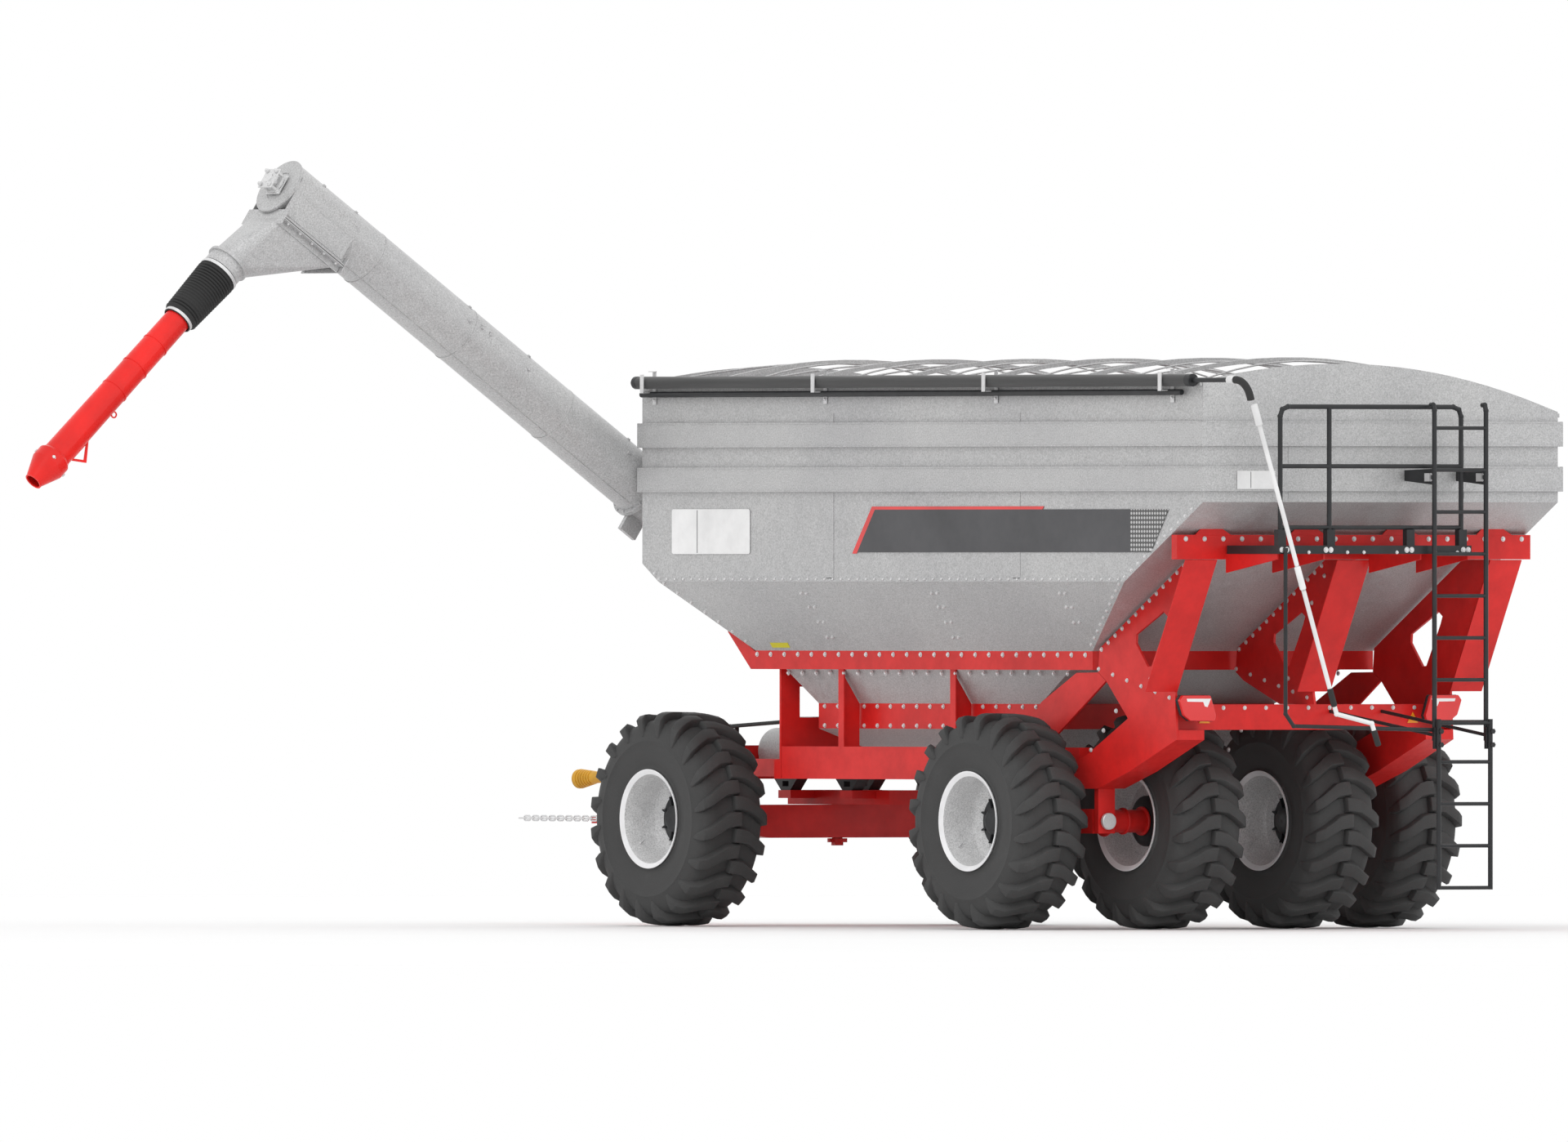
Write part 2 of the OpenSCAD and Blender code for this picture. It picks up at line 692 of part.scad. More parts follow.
module pto_shaft() color("goldenrod") cart() {
    bar(pto_back, pto_back + (pto_front - pto_back) * 0.5, 76);
    bar(pto_back + (pto_front - pto_back) * 0.45, pto_front, 92);
    bar(pto_front + (pto_back - pto_front) * 0.09, pto_front, 150);
    bar(pto_back, pto_back + (pto_front - pto_back) * 0.07, 140);
}

// Rigid hydraulic pipes from the bulkhead to couplings held on the sub-frame's front plate.
module hydraulic_lines() color(black) cart() for (y = [330, 390]) {
    bent([
        [bulk_x - 2, y + 150, 1560], [600, y + 150, 1540], [-600, y, 1490], [-800, y - 20, 1470]
    ], 26);
    bar([-700, y - 10, 1480], [-820, y - 22, 1468], 44);
    span([-610, y - 14, long_top], [-590, y + 14, 1480]);
}

// ---------------------------------------------------------------- rockers and wheels

// Walking beam: the outer wheel stands ahead of the pin and the inner wheel behind it.
module rocker() difference() {
    union() {
        span([outer_x - 70, rocker_y - 75, axle_z - 90], [inner_x + 69, rocker_y + 75, axle_z + 90]);
        translate([outer_x, rocker_y + 70, axle_z]) rotate([-90, 0, 0])
            cylinder(h = outer_track - rocker_y - 70 - rim_w / 2 + hub_in - 4, r = 85);
        translate([outer_x, rocker_y + 70, axle_z]) rotate([-90, 0, 0])
            cylinder(h = outer_track - rocker_y - 70 - rim_w / 2 + hub_in + hub_t + 40, r = 60);
        translate([inner_x, rocker_y - 70, axle_z]) rotate([90, 0, 0])
            cylinder(h = rocker_y - inner_track - 70 - rim_w / 2 + hub_in - 4, r = 85);
        translate([inner_x, rocker_y - 70, axle_z]) rotate([90, 0, 0])
            cylinder(h = rocker_y - inner_track - 70 - rim_w / 2 + hub_in + hub_t + 40, r = 60);
    }
    translate([outer_x - 139, rocker_y, axle_z]) rotate([0, 90, 0])
        cylinder(h = 2 * stagger + 328, r = rocker_pin_r + run_gap);
}

module rocker_left() color(red) cart() rear() rocker();

module rocker_right() color(red) cart() rear() mirror([0, 1, 0]) rocker();

// Tyre about its own axis, which is Z.
module tyre() rotate_extrude($fn = 96) polygon([
    [rim_r - 34, -rim_w / 2 + 16], [rim_r + 6, -rim_w / 2 + 14], [rim_r + 90, -tyre_w / 2 + 14],
    [rim_r + 200, -tyre_w / 2], [tyre_r - 130, -tyre_w / 2 + 10], [tyre_r - 40, -tyre_w / 2 + 52],
    [tyre_r - 6, -tyre_w / 2 + 110], [tyre_r, 0], [tyre_r - 6, tyre_w / 2 - 110],
    [tyre_r - 40, tyre_w / 2 - 52], [tyre_r - 130, tyre_w / 2 - 10], [rim_r + 200, tyre_w / 2],
    [rim_r + 90, tyre_w / 2 - 14], [rim_r + 6, rim_w / 2 - 14], [rim_r - 34, rim_w / 2 - 16]
]);

// Rim, disc and hub about the wheel's axis; the deep side faces +Z.
module rim() difference() {
    union() {
        rotate_extrude($fn = 96) polygon([
            [rim_r - 46, -rim_w / 2 + 14], [rim_r, -rim_w / 2], [rim_r, -rim_w / 2 + 13],
            [rim_r - 35, -rim_w / 2 + 15], [rim_r - 35, rim_w / 2 - 15], [rim_r, rim_w / 2 - 13],
            [rim_r, rim_w / 2], [rim_r - 46, rim_w / 2 - 14], [rim_r - 46, -10],
            [150, -40], [150, -52], [rim_r - 46, -24]
        ]);
        translate([0, 0, -rim_w / 2 + hub_in]) cylinder(h = hub_t, r = hub_r);
    }
    translate([0, 0, -rim_w / 2 + hub_in - 1]) cylinder(h = hub_t + 2, r = 60 + run_gap);
}

// Turns a wheel's axis across the cart, with its deep side to the left (+1) or right (-1).
module wheel_at(x, y, side) cart() translate([x, y, axle_z]) rotate([-90 * side, 0, 0]) children();

module tyre_fl() color("#3a3a3a") wheel_at(front_x, front_track, 1) tyre();

module tyre_fr() color("#3a3a3a") wheel_at(front_x, -front_track, -1) tyre();

module tyre_lo() color("#3a3a3a") wheel_at(outer_x + rear_shift, outer_track, 1) tyre();

module tyre_li() color("#3a3a3a") wheel_at(inner_x + rear_shift, inner_track, -1) tyre();

module tyre_ri() color("#3a3a3a") wheel_at(inner_x + rear_shift, -inner_track, 1) tyre();

module tyre_ro() color("#3a3a3a") wheel_at(outer_x + rear_shift, -outer_track, -1) tyre();

module rim_fl() color("gainsboro") wheel_at(front_x, front_track, 1) rim();

module rim_fr() color("gainsboro") wheel_at(front_x, -front_track, -1) rim();

module rim_lo() color("gainsboro") wheel_at(outer_x + rear_shift, outer_track, 1) rim();

module rim_li() color("gainsboro") wheel_at(inner_x + rear_shift, inner_track, -1) rim();

module rim_ri() color("gainsboro") wheel_at(inner_x + rear_shift, -inner_track, 1) rim();

module rim_ro() color("gainsboro") wheel_at(outer_x + rear_shift, -outer_track, -1) rim();

hopper_shell();
hopper_ribs();
end_gables();
lower_rail();
funnel();
mid_rail();
trough();
auger_housing();
rail_bolts();
low_rails();
front_bulkhead();
posts();
rear_band();
a_frames();
rear_beam();
legs();
pivot_pins();
subframe();
load_cells();
bolster();
tail_lights();
platform();
railing();
ladder();
tarp_brackets();
tarp_bows();
crank_elbow();
lower_tube();
pto_gearbox();
hydraulic_lines();
side_panels();
tarp_roll();
crank();
ladder_step();
upper_tube();
auger_boot();
bellows();
auger_shaft();
spout();
axle_beam();
drawbar();
safety_chain();
pto_shaft();
rocker_left();
rocker_right();
tyre_fl();
tyre_fr();
tyre_lo();
tyre_li();
tyre_ri();
tyre_ro();
rim_fl();
rim_fr();
rim_lo();
rim_li();
rim_ri();
rim_ro();
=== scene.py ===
"""Looks of the grain cart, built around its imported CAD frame. All lengths are in metres."""
import math
import random

import bmesh
import bpy
from mathutils import Matrix, Vector


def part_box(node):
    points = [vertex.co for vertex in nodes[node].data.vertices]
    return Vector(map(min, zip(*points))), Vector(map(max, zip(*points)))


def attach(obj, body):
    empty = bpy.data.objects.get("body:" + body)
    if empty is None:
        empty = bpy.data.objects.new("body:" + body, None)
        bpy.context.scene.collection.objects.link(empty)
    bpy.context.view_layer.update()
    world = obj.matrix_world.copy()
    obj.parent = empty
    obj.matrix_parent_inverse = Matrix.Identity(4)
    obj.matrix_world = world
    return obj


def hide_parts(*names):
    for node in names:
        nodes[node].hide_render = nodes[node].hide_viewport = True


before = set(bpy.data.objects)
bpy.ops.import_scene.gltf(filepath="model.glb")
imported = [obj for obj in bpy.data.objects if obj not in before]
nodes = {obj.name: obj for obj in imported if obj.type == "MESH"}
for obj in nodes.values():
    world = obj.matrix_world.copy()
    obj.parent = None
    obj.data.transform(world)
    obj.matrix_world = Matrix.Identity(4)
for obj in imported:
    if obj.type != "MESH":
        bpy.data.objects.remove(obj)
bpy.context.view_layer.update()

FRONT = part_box("hopper_shell")[1].x
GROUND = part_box("tyre_lo")[0].z


def at(a, b, z):
    """A point a behind the hopper's front wall, b to the left, z above the ground."""
    return Vector((FRONT - a, b, GROUND + z))


# ---------------------------------------------------------------- camera, light, floor

scene = bpy.context.scene
TOWARDS_CAMERA = Vector((-0.818, 0.575, 0)).normalized()
LENS, SENSOR, VIEW_WIDTH = 1200, 36, 11.635
AIM = Vector((-2.397, 0, 1.874))

camera = bpy.data.objects.new("camera", bpy.data.cameras.new("camera"))
scene.collection.objects.link(camera)
camera.data.lens = LENS
camera.data.sensor_width = SENSOR
camera.data.clip_start, camera.data.clip_end = 5, 3000
# the view is VIEW_WIDTH wide this far in front of the point aimed at
MIDDLE_DEPTH = 4.8
camera.location = AIM + TOWARDS_CAMERA * (VIEW_WIDTH * LENS / SENSOR + MIDDLE_DEPTH)
camera.rotation_euler = (-TOWARDS_CAMERA).to_track_quat("-Z", "Y").to_euler()
scene.camera = camera

world = bpy.data.worlds.new("studio")
world.use_nodes = True
world.node_tree.nodes["Background"].inputs["Color"].default_value = (1, 1, 1, 1)
world.node_tree.nodes["Background"].inputs["Strength"].default_value = 1.0
scene.world = world
scene.view_settings.view_transform = "Standard"
scene.view_settings.look = "None"


def sun(name, towards, strength, angle):
    light = bpy.data.objects.new(name, bpy.data.lights.new(name, "SUN"))
    scene.collection.objects.link(light)
    light.data.energy = strength
    light.data.angle = math.radians(angle)
    light.rotation_euler = Vector(towards).to_track_quat("-Z", "Y").to_euler()


sun("key", (0.75, -0.9, -1.0), 0.45, 30)
sun("fill", (1.0, 0.3, -0.5), 0.25, 60)
sun("front_fill", (-0.8, 0.7, -0.6), 0.2, 60)

# ---------------------------------------------------------------- materials


def new_material(name):
    m = bpy.data.materials.new(name)
    m.use_nodes = True
    return m, m.node_tree.nodes, m.node_tree.links, m.node_tree.nodes["Principled BSDF"]


def noise(ns, ls, scale, detail=2, rough=0.5, kind="ShaderNodeTexNoise", stretch=None):
    """A 3-D noise in the object's own metres; stretch scales the axes."""
    coords = ns.new("ShaderNodeTexCoord").outputs["Object"]
    if stretch:
        mapping = ns.new("ShaderNodeMapping")
        mapping.inputs["Scale"].default_value = stretch
        ls.new(coords, mapping.inputs["Vector"])
        coords = mapping.outputs["Vector"]
    n = ns.new(kind)
    n.inputs["Scale"].default_value = scale
    n.inputs["Detail"].default_value = detail
    n.inputs["Roughness"].default_value = rough
    ls.new(coords, n.inputs["Vector"])
    return n.outputs["Fac"] if "Fac" in n.outputs else n.outputs["Distance"]


def ramp(ns, ls, source, stops):
    r = ns.new("ShaderNodeValToRGB")
    while len(r.color_ramp.elements) < len(stops):
        r.color_ramp.elements.new(0.5)
    for e, (place, colour) in zip(r.color_ramp.elements, stops):
        e.position = place
        e.color = (*colour, 1) if len(colour) == 3 else colour
    ls.new(source, r.inputs["Fac"])
    return r.outputs["Color"]


def mix(ns, ls, kind, fac, a, b):
    m = ns.new("ShaderNodeMix")
    m.data_type, m.blend_type = "RGBA", kind
    m.inputs["Factor"].default_value = fac
    ls.new(a, m.inputs[6])
    ls.new(b, m.inputs[7])
    return m.outputs[2]


def bump(ns, ls, bsdf, sources):
    last = None
    for source, strength, distance in sources:
        b = ns.new("ShaderNodeBump")
        b.inputs["Strength"].default_value = strength
        b.inputs["Distance"].default_value = distance
        ls.new(source, b.inputs["Height"])
        if last:
            ls.new(last, b.inputs["Normal"])
        last = b.outputs["Normal"]
    ls.new(last, bsdf.inputs["Normal"])


def grey(v):
    return (v, v, v)


def roughness(ns, ls, bsdf, source, low, high):
    ls.new(ramp(ns, ls, source, [(0.3, grey(low)), (0.7, grey(high))]), bsdf.inputs["Roughness"])


def galvanised(name, light, metallic=0.35, grain=0.10):
    """Zinc-coated steel: fine specks, palm-sized patches and faint stains."""
    m, ns, ls, bsdf = new_material(name)
    speck = noise(ns, ls, 95, 3, 0.7)
    spangle = noise(ns, ls, 14, 2, 0.6)
    cloud = noise(ns, ls, 0.9, 3, 0.5)
    base = ramp(ns, ls, speck, [(0.28, grey(light - grain * 1.6)), (0.5, grey(light)),
                                (0.72, grey(min(1, light + grain * 1.4)))])
    patches = ramp(ns, ls, spangle, [(0.3, grey(0.86)), (0.7, grey(1.0))])
    stains = ramp(ns, ls, cloud, [(0.3, (0.90, 0.90, 0.91)), (0.65, (1, 1, 1))])
    colour = mix(ns, ls, "MULTIPLY", 1, mix(ns, ls, "MULTIPLY", 0.7, base, patches), stains)
    ls.new(colour, bsdf.inputs["Base Color"])
    bsdf.inputs["Metallic"].default_value = metallic
    roughness(ns, ls, bsdf, spangle, 0.42, 0.60)
    bump(ns, ls, bsdf, [(speck, 0.10, 0.001), (cloud, 0.12, 0.02)])
    return m


def paint(name, colour, rough=0.34, coat=0.35, dust=0.16):
    """Sprayed paint with a slight orange peel, a drifting tone and a little dust."""
    m, ns, ls, bsdf = new_material(name)
    peel = noise(ns, ls, 160, 2, 0.5)
    cloud = noise(ns, ls, 1.7, 4, 0.55)
    dirt = noise(ns, ls, 7, 5, 0.7)
    dark = tuple(c * 0.80 for c in colour)
    pale = tuple(min(1, c * 1.08 + 0.004) for c in colour)
    base = ramp(ns, ls, cloud, [(0.3, dark), (0.55, colour), (0.8, pale)])
    dusty = ramp(ns, ls, dirt, [(0.35, grey(1.0 - dust)), (0.62, grey(1.0))])
    ls.new(mix(ns, ls, "MULTIPLY", 0.8, base, dusty), bsdf.inputs["Base Color"])
    roughness(ns, ls, bsdf, dirt, rough + 0.10, rough - 0.04)
    bsdf.inputs["Coat Weight"].default_value = coat
    bsdf.inputs["Coat Roughness"].default_value = 0.2
    bsdf.inputs["Specular IOR Level"].default_value = 0.28
    bump(ns, ls, bsdf, [(peel, 0.02, 0.0006)])
    return m


def rubber(name, light, fine=140, worn=0.02):
    """Dull rubber with a fine grain, paler where it is worn."""
    m, ns, ls, bsdf = new_material(name)
    grain = noise(ns, ls, fine, 3, 0.65)
    cloud = noise(ns, ls, 3.0, 4, 0.6)
    base = ramp(ns, ls, cloud, [(0.3, grey(light * 0.8)), (0.6, grey(light)), (0.8, grey(light + worn))])
    specks = ramp(ns, ls, grain, [(0.3, grey(0.8)), (0.65, grey(1.0))])
    ls.new(mix(ns, ls, "MULTIPLY", 0.8, base, specks), bsdf.inputs["Base Color"])
    roughness(ns, ls, bsdf, cloud, 0.62, 0.78)
    bsdf.inputs["Specular IOR Level"].default_value = 0.35
    bump(ns, ls, bsdf, [(grain, 0.25, 0.0012), (cloud, 0.1, 0.004)])
    return m


def pale_floor():
    """The studio floor: nearly even, and dull."""
    m, ns, ls, bsdf = new_material("floor_pale")
    cloud = noise(ns, ls, 0.4, 2, 0.5)
    ls.new(ramp(ns, ls, cloud, [(0.3, grey(0.855)), (0.7, grey(0.865))]), bsdf.inputs["Base Color"])
    bsdf.inputs["Roughness"].default_value = 0.8
    bsdf.inputs["Specular IOR Level"].default_value = 0.1
    return m


def dotted(name, dark, dot):
    """A film printed with a staggered field of small holes."""
    m, ns, ls, bsdf = new_material(name)
    coords = ns.new("ShaderNodeTexCoord").outputs["Object"]
    apart, flat = ns.new("ShaderNodeSeparateXYZ"), ns.new("ShaderNodeCombineXYZ")
    ls.new(coords, apart.inputs["Vector"])
    ls.new(apart.outputs["X"], flat.inputs["X"])
    ls.new(apart.outputs["Z"], flat.inputs["Y"])
    v = ns.new("ShaderNodeTexVoronoi")
    v.voronoi_dimensions = "2D"
    v.inputs["Scale"].default_value = 30
    v.inputs["Randomness"].default_value = 0
    ls.new(flat.outputs["Vector"], v.inputs["Vector"])
    ls.new(ramp(ns, ls, v.outputs["Distance"], [(0.30, grey(dot)), (0.36, grey(dark))]),
           bsdf.inputs["Base Color"])
    bsdf.inputs["Roughness"].default_value = 0.42
    bump(ns, ls, bsdf, [(noise(ns, ls, 200), 0.04, 0.0005)])
    return m


def weave(name, light):
    """Coated cloth, rolled up: a fine weave with folds along the roll, and the folds' shade painted into
    the colour, darker in the creases and lighter on the ridges.
    """
    m, ns, ls, bsdf = new_material(name)
    cloth = noise(ns, ls, 260, 1, 0.4, stretch=(1, 0.3, 0.3))
    fold_and_shade = noise(ns, ls, 2.2, 4, 0.6, stretch=(0.35, 9, 9))
    # painted shade and highlight: the colour follows the folds' bump, darker in the creases and lighter on
    # the ridges
    ls.new(ramp(ns, ls, fold_and_shade, [(0.3, grey(light * 0.7)), (0.7, grey(light * 1.3))]),
           bsdf.inputs["Base Color"])
    bsdf.inputs["Roughness"].default_value = 0.58
    bsdf.inputs["Sheen Weight"].default_value = 0.25
    bump(ns, ls, bsdf, [(cloth, 0.2, 0.0008), (fold_and_shade, 0.5, 0.010)])
    return m


ZINC_SHEET = galvanised("zinc_sheet", 0.52)
ZINC_TUBE = galvanised("zinc_tube", 0.55, 0.30, 0.12)
BOLT = galvanised("bolt_zinc", 0.78, 0.6, 0.05)
RED = paint("red_paint", (0.68, 0.018, 0.016), 0.36, 0.06)
SPOUT_RED = paint("spout_red", (0.86, 0.018, 0.014), 0.34, 0.06, 0.06)
BLACK = paint("black_paint", (0.022, 0.023, 0.025), 0.42, 0.15, 0.25)
WHITE = paint("white_paint", (0.80, 0.80, 0.80), 0.36, 0.3, 0.08)
RIM = galvanised("rim_silver", 0.76, 0.20, 0.16)
RIM_LIP = paint("rim_lip", (0.86, 0.86, 0.87), 0.3, 0.4, 0.05)
TYRE = rubber("tyre_rubber", 0.058)
RUBBER = rubber("hose_rubber", 0.030, 220)
CLOTH = weave("cover_cloth", 0.022)
LAMP = paint("lamp_red", (0.72, 0.02, 0.02), 0.15, 0.8, 0.03)
LAMP_WHITE = paint("reflector_white", (0.85, 0.85, 0.85), 0.2, 0.6, 0.02)
ORANGE = paint("reflector_orange", (0.85, 0.30, 0.015), 0.2, 0.6, 0.03)
FILM = paint("panel_film", (0.075, 0.075, 0.080), 0.4, 0.1, 0.06)
FILM_DOTS = dotted("panel_dots", 0.075, 0.50)
GUARD = paint("guard_yellow", (0.68, 0.36, 0.035), 0.5, 0.05, 0.2)
LABEL = paint("label_yellow", (0.75, 0.68, 0.05), 0.4, 0.1, 0.1)

# ---------------------------------------------------------------- mesh helpers


def build(name, bm, material, body, smooth=30, bevel=0, replaces=()):
    """Turns a bmesh in the row frame into a piece that rides on a body."""
    bmesh.ops.recalc_face_normals(bm, faces=bm.faces)
    mesh = bpy.data.meshes.new(name)
    bm.to_mesh(mesh)
    bm.free()
    o = bpy.data.objects.new(name, mesh)
    scene.collection.objects.link(o)
    materials = material if isinstance(material, (list, tuple)) else [material]
    for m in materials:
        mesh.materials.append(m)
    if bevel:
        b = o.modifiers.new("edges", "BEVEL")
        b.width, b.segments, b.limit_method, b.angle_limit = bevel, 2, "ANGLE", math.radians(35)
    if smooth:
        mesh.polygons.foreach_set("use_smooth", [True] * len(mesh.polygons))
        split = o.modifiers.new("creases", "EDGE_SPLIT")
        split.split_angle = math.radians(smooth)
    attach(o, body)
    if replaces:
        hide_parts(*replaces)
    return o


def add_box(bm, low, high, index=0, turn=None):
    """A box between two corners; turn is an optional matrix."""
    made = bmesh.ops.create_cube(bm, size=1)["verts"]
    low, high = Vector(low), Vector(high)
    for v in made:
        v.co = Vector((low[i] + (v.co[i] + 0.5) * (high[i] - low[i]) for i in range(3)))
        if turn:
            v.co = turn @ v.co
    for f in {f for v in made for f in v.link_faces}:
        f.material_index = index


def add_plate(bm, outline, offset, index=0):
    """A plate with a flat outline (points in order), thickened by the offset vector."""
    offset = Vector(offset)
    low = [bm.verts.new(p) for p in outline]
    high = [bm.verts.new(Vector(p) + offset) for p in outline]
    n = len(low)
    faces = [bm.faces.new(low), bm.faces.new(high[::-1])]
    faces += [bm.faces.new((low[i], low[(i + 1) % n], high[(i + 1) % n], high[i])) for i in range(n)]
    for f in faces:
        f.material_index = index


def add_lathe(bm, profile, place, sides=64, closed=True, index=0):
    """Turns (radius, height) points round the local Z axis of the matrix place."""
    rings = []
    for r, z in profile:
        rings.append([bm.verts.new(place @ Vector((r * math.cos(t), r * math.sin(t), z)))
                      for t in (2 * math.pi * i / sides for i in range(sides))])
    pairs = list(zip(rings, rings[1:])) + ([(rings[-1], rings[0])] if closed else [])
    for a, b in pairs:
        for i in range(sides):
            j = (i + 1) % sides
            bm.faces.new((a[i], a[j], b[j], b[i])).material_index = index


def axis_matrix(origin, direction, up=(0, 0, 1)):
    """A matrix whose Z runs along direction."""
    z = Vector(direction).normalized()
    x = Vector(up).cross(z)
    if x.length < 1e-4:
        x = Vector((1, 0, 0)).cross(z)
    x.normalize()
    y = z.cross(x)
    m = Matrix((x, y, z)).transposed().to_4x4()
    m.translation = Vector(origin)
    return m


def add_rod(bm, p, q, r, sides=20, index=0, chamfer=0.0):
    p, q = Vector(p), Vector(q)
    length = (q - p).length
    c = min(chamfer, r * 0.5, length * 0.4)
    profile = [(0.0005, 0), (r - c, 0), (r, c), (r, length - c), (r - c, length), (0.0005, length)]
    if c == 0:
        profile = [(0.0005, 0), (r, 0), (r, length), (0.0005, length)]
    add_lathe(bm, profile, axis_matrix(p, q - p), sides, True, index)


def add_tube(bm, points, r, sides=16, index=0):
    """A round bar along a path, with closed ends. r is a number or one number for each point."""
    points = [Vector(p) for p in points]
    radii = r if isinstance(r, (list, tuple)) else [r] * len(points)
    direction = (points[1] - points[0]).normalized()
    side = direction.orthogonal().normalized()
    rings = []
    for i, p in enumerate(points):
        ahead = points[min(i + 1, len(points) - 1)] - points[max(i - 1, 0)]
        turn = direction.rotation_difference(ahead.normalized())
        direction, side = ahead.normalized(), (turn @ side).normalized()
        other = direction.cross(side)
        rings.append([bm.verts.new(p + radii[i] * (side * math.cos(t) + other * math.sin(t)))
                      for t in (2 * math.pi * k / sides for k in range(sides))])
    faces = [bm.faces.new(rings[0][::-1]), bm.faces.new(rings[-1])]
    for a, b in zip(rings, rings[1:]):
        for i in range(sides):
            j = (i + 1) % sides
            faces.append(bm.faces.new((a[i], a[j], b[j], b[i])))
    for f in faces:
        f.material_index = index


def add_bolt(bm, p, out, size=0.013, spin=0.0):
    """A hexagon bolt head on its washer, standing out of a face."""
    place = axis_matrix(Vector(p) - Vector(out).normalized() * 0.002, out)
    add_lathe(bm, [(0.0005, 0), (size * 1.35, 0), (size * 1.35, 0.0045), (0.0005, 0.0045)], place, 14)
    turned = place @ Matrix.Rotation(spin, 4, "Z")
    add_lathe(bm, [(0.0005, 0.004), (size, 0.004), (size, 0.012), (size * 0.78, 0.0145),
                   (0.0005, 0.0145)], turned, 6)


rng = random.Random(7)


def bolt_row(bm, p, q, count, out, size=0.013, skip=()):
    p, q = Vector(p), Vector(q)
    for i in range(count):
        if i not in skip:
            add_bolt(bm, p.lerp(q, i / max(1, count - 1)), out, size, rng.random())


# ---------------------------------------------------------------- finish of the CAD nodes

FINISH = {
    ZINC_SHEET: ["hopper_shell", "hopper_ribs", "end_gables", "funnel", "trough", "auger_housing",
                 "tarp_bows"],
    ZINC_TUBE: ["lower_tube", "upper_tube", "auger_boot"],
    RED: ["lower_rail", "mid_rail", "low_rails", "front_bulkhead", "posts", "rear_band", "a_frames",
          "rear_beam", "legs", "subframe", "bolster", "axle_beam", "drawbar", "rocker_left",
          "rocker_right"],
    SPOUT_RED: ["spout"],
    BLACK: ["platform", "railing", "ladder", "ladder_step", "load_cells", "pto_gearbox"],
    BOLT: ["rail_bolts", "pivot_pins", "tarp_brackets", "auger_shaft", "safety_chain"],
    WHITE: ["crank"],
    RUBBER: ["crank_elbow", "hydraulic_lines", "bellows"],
    CLOTH: ["tarp_roll"],
    LAMP: ["tail_lights"],
    FILM: ["side_panels"],
    GUARD: ["pto_shaft"],
    TYRE: [n for n in nodes if n.startswith("tyre_")],
    RIM: [n for n in nodes if n.startswith("rim_")],
}
SOFT_EDGES = {"lower_rail", "mid_rail", "low_rails", "front_bulkhead", "posts", "rear_band",
              "a_frames", "rear_beam", "legs", "subframe", "bolster", "drawbar", "rocker_left",
              "rocker_right", "axle_beam"}
for material, names in FINISH.items():
    for name in names:
        o = nodes[name]
        o.data.materials.clear()
        o.data.materials.append(material)
        if name in SOFT_EDGES:
            b = o.modifiers.new("edges", "BEVEL")
            b.width, b.segments, b.limit_method = 0.003, 1, "ANGLE"
            b.angle_limit = math.radians(40)

# ---------------------------------------------------------------- wheels

LUGS = 20
PITCH = 2 * math.pi / LUGS
TYRE_R = (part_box("tyre_lo")[1].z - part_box("tyre_lo")[0].z) / 2
# angle from the nose, half width at base and top, base (radius, offset), top (radius, offset)
LUG = [
    (0.000, 0.088, 0.062, (0.742, -0.032), (TYRE_R - 0.002, -0.024)),
    (0.004, 0.086, 0.064, (0.742, 0.030), (TYRE_R, 0.030)),
    (0.020, 0.084, 0.062, (0.742, 0.095), (TYRE_R, 0.095)),
    (0.075, 0.080, 0.058, (0.736, 0.160), (TYRE_R - 0.004, 0.165)),
    (0.130, 0.078, 0.056, (0.718, 0.218), (TYRE_R - 0.014, 0.232)),
    (0.165, 0.076, 0.052, (0.690, 0.250), (TYRE_R - 0.052, 0.284)),
    (0.190, 0.060, 0.040, (0.655, 0.266), (TYRE_R - 0.115, 0.2925)),
    (0.215, 0.040, 0.018, (0.610, 0.272), (TYRE_R - 0.180, 0.2905)),
]
CARCASS = [
    (0.345, 0.252), (0.360, 0.262), (0.380, 0.266), (0.392, 0.258), (0.412, 0.262), (0.455, 0.274),
    (0.520, 0.2835), (0.575, 0.2870), (0.583, 0.2915), (0.592, 0.2870), (0.640, 0.2830),
    (0.690, 0.266), (0.722, 0.236), (0.740, 0.180), (0.748, 0.100),
]


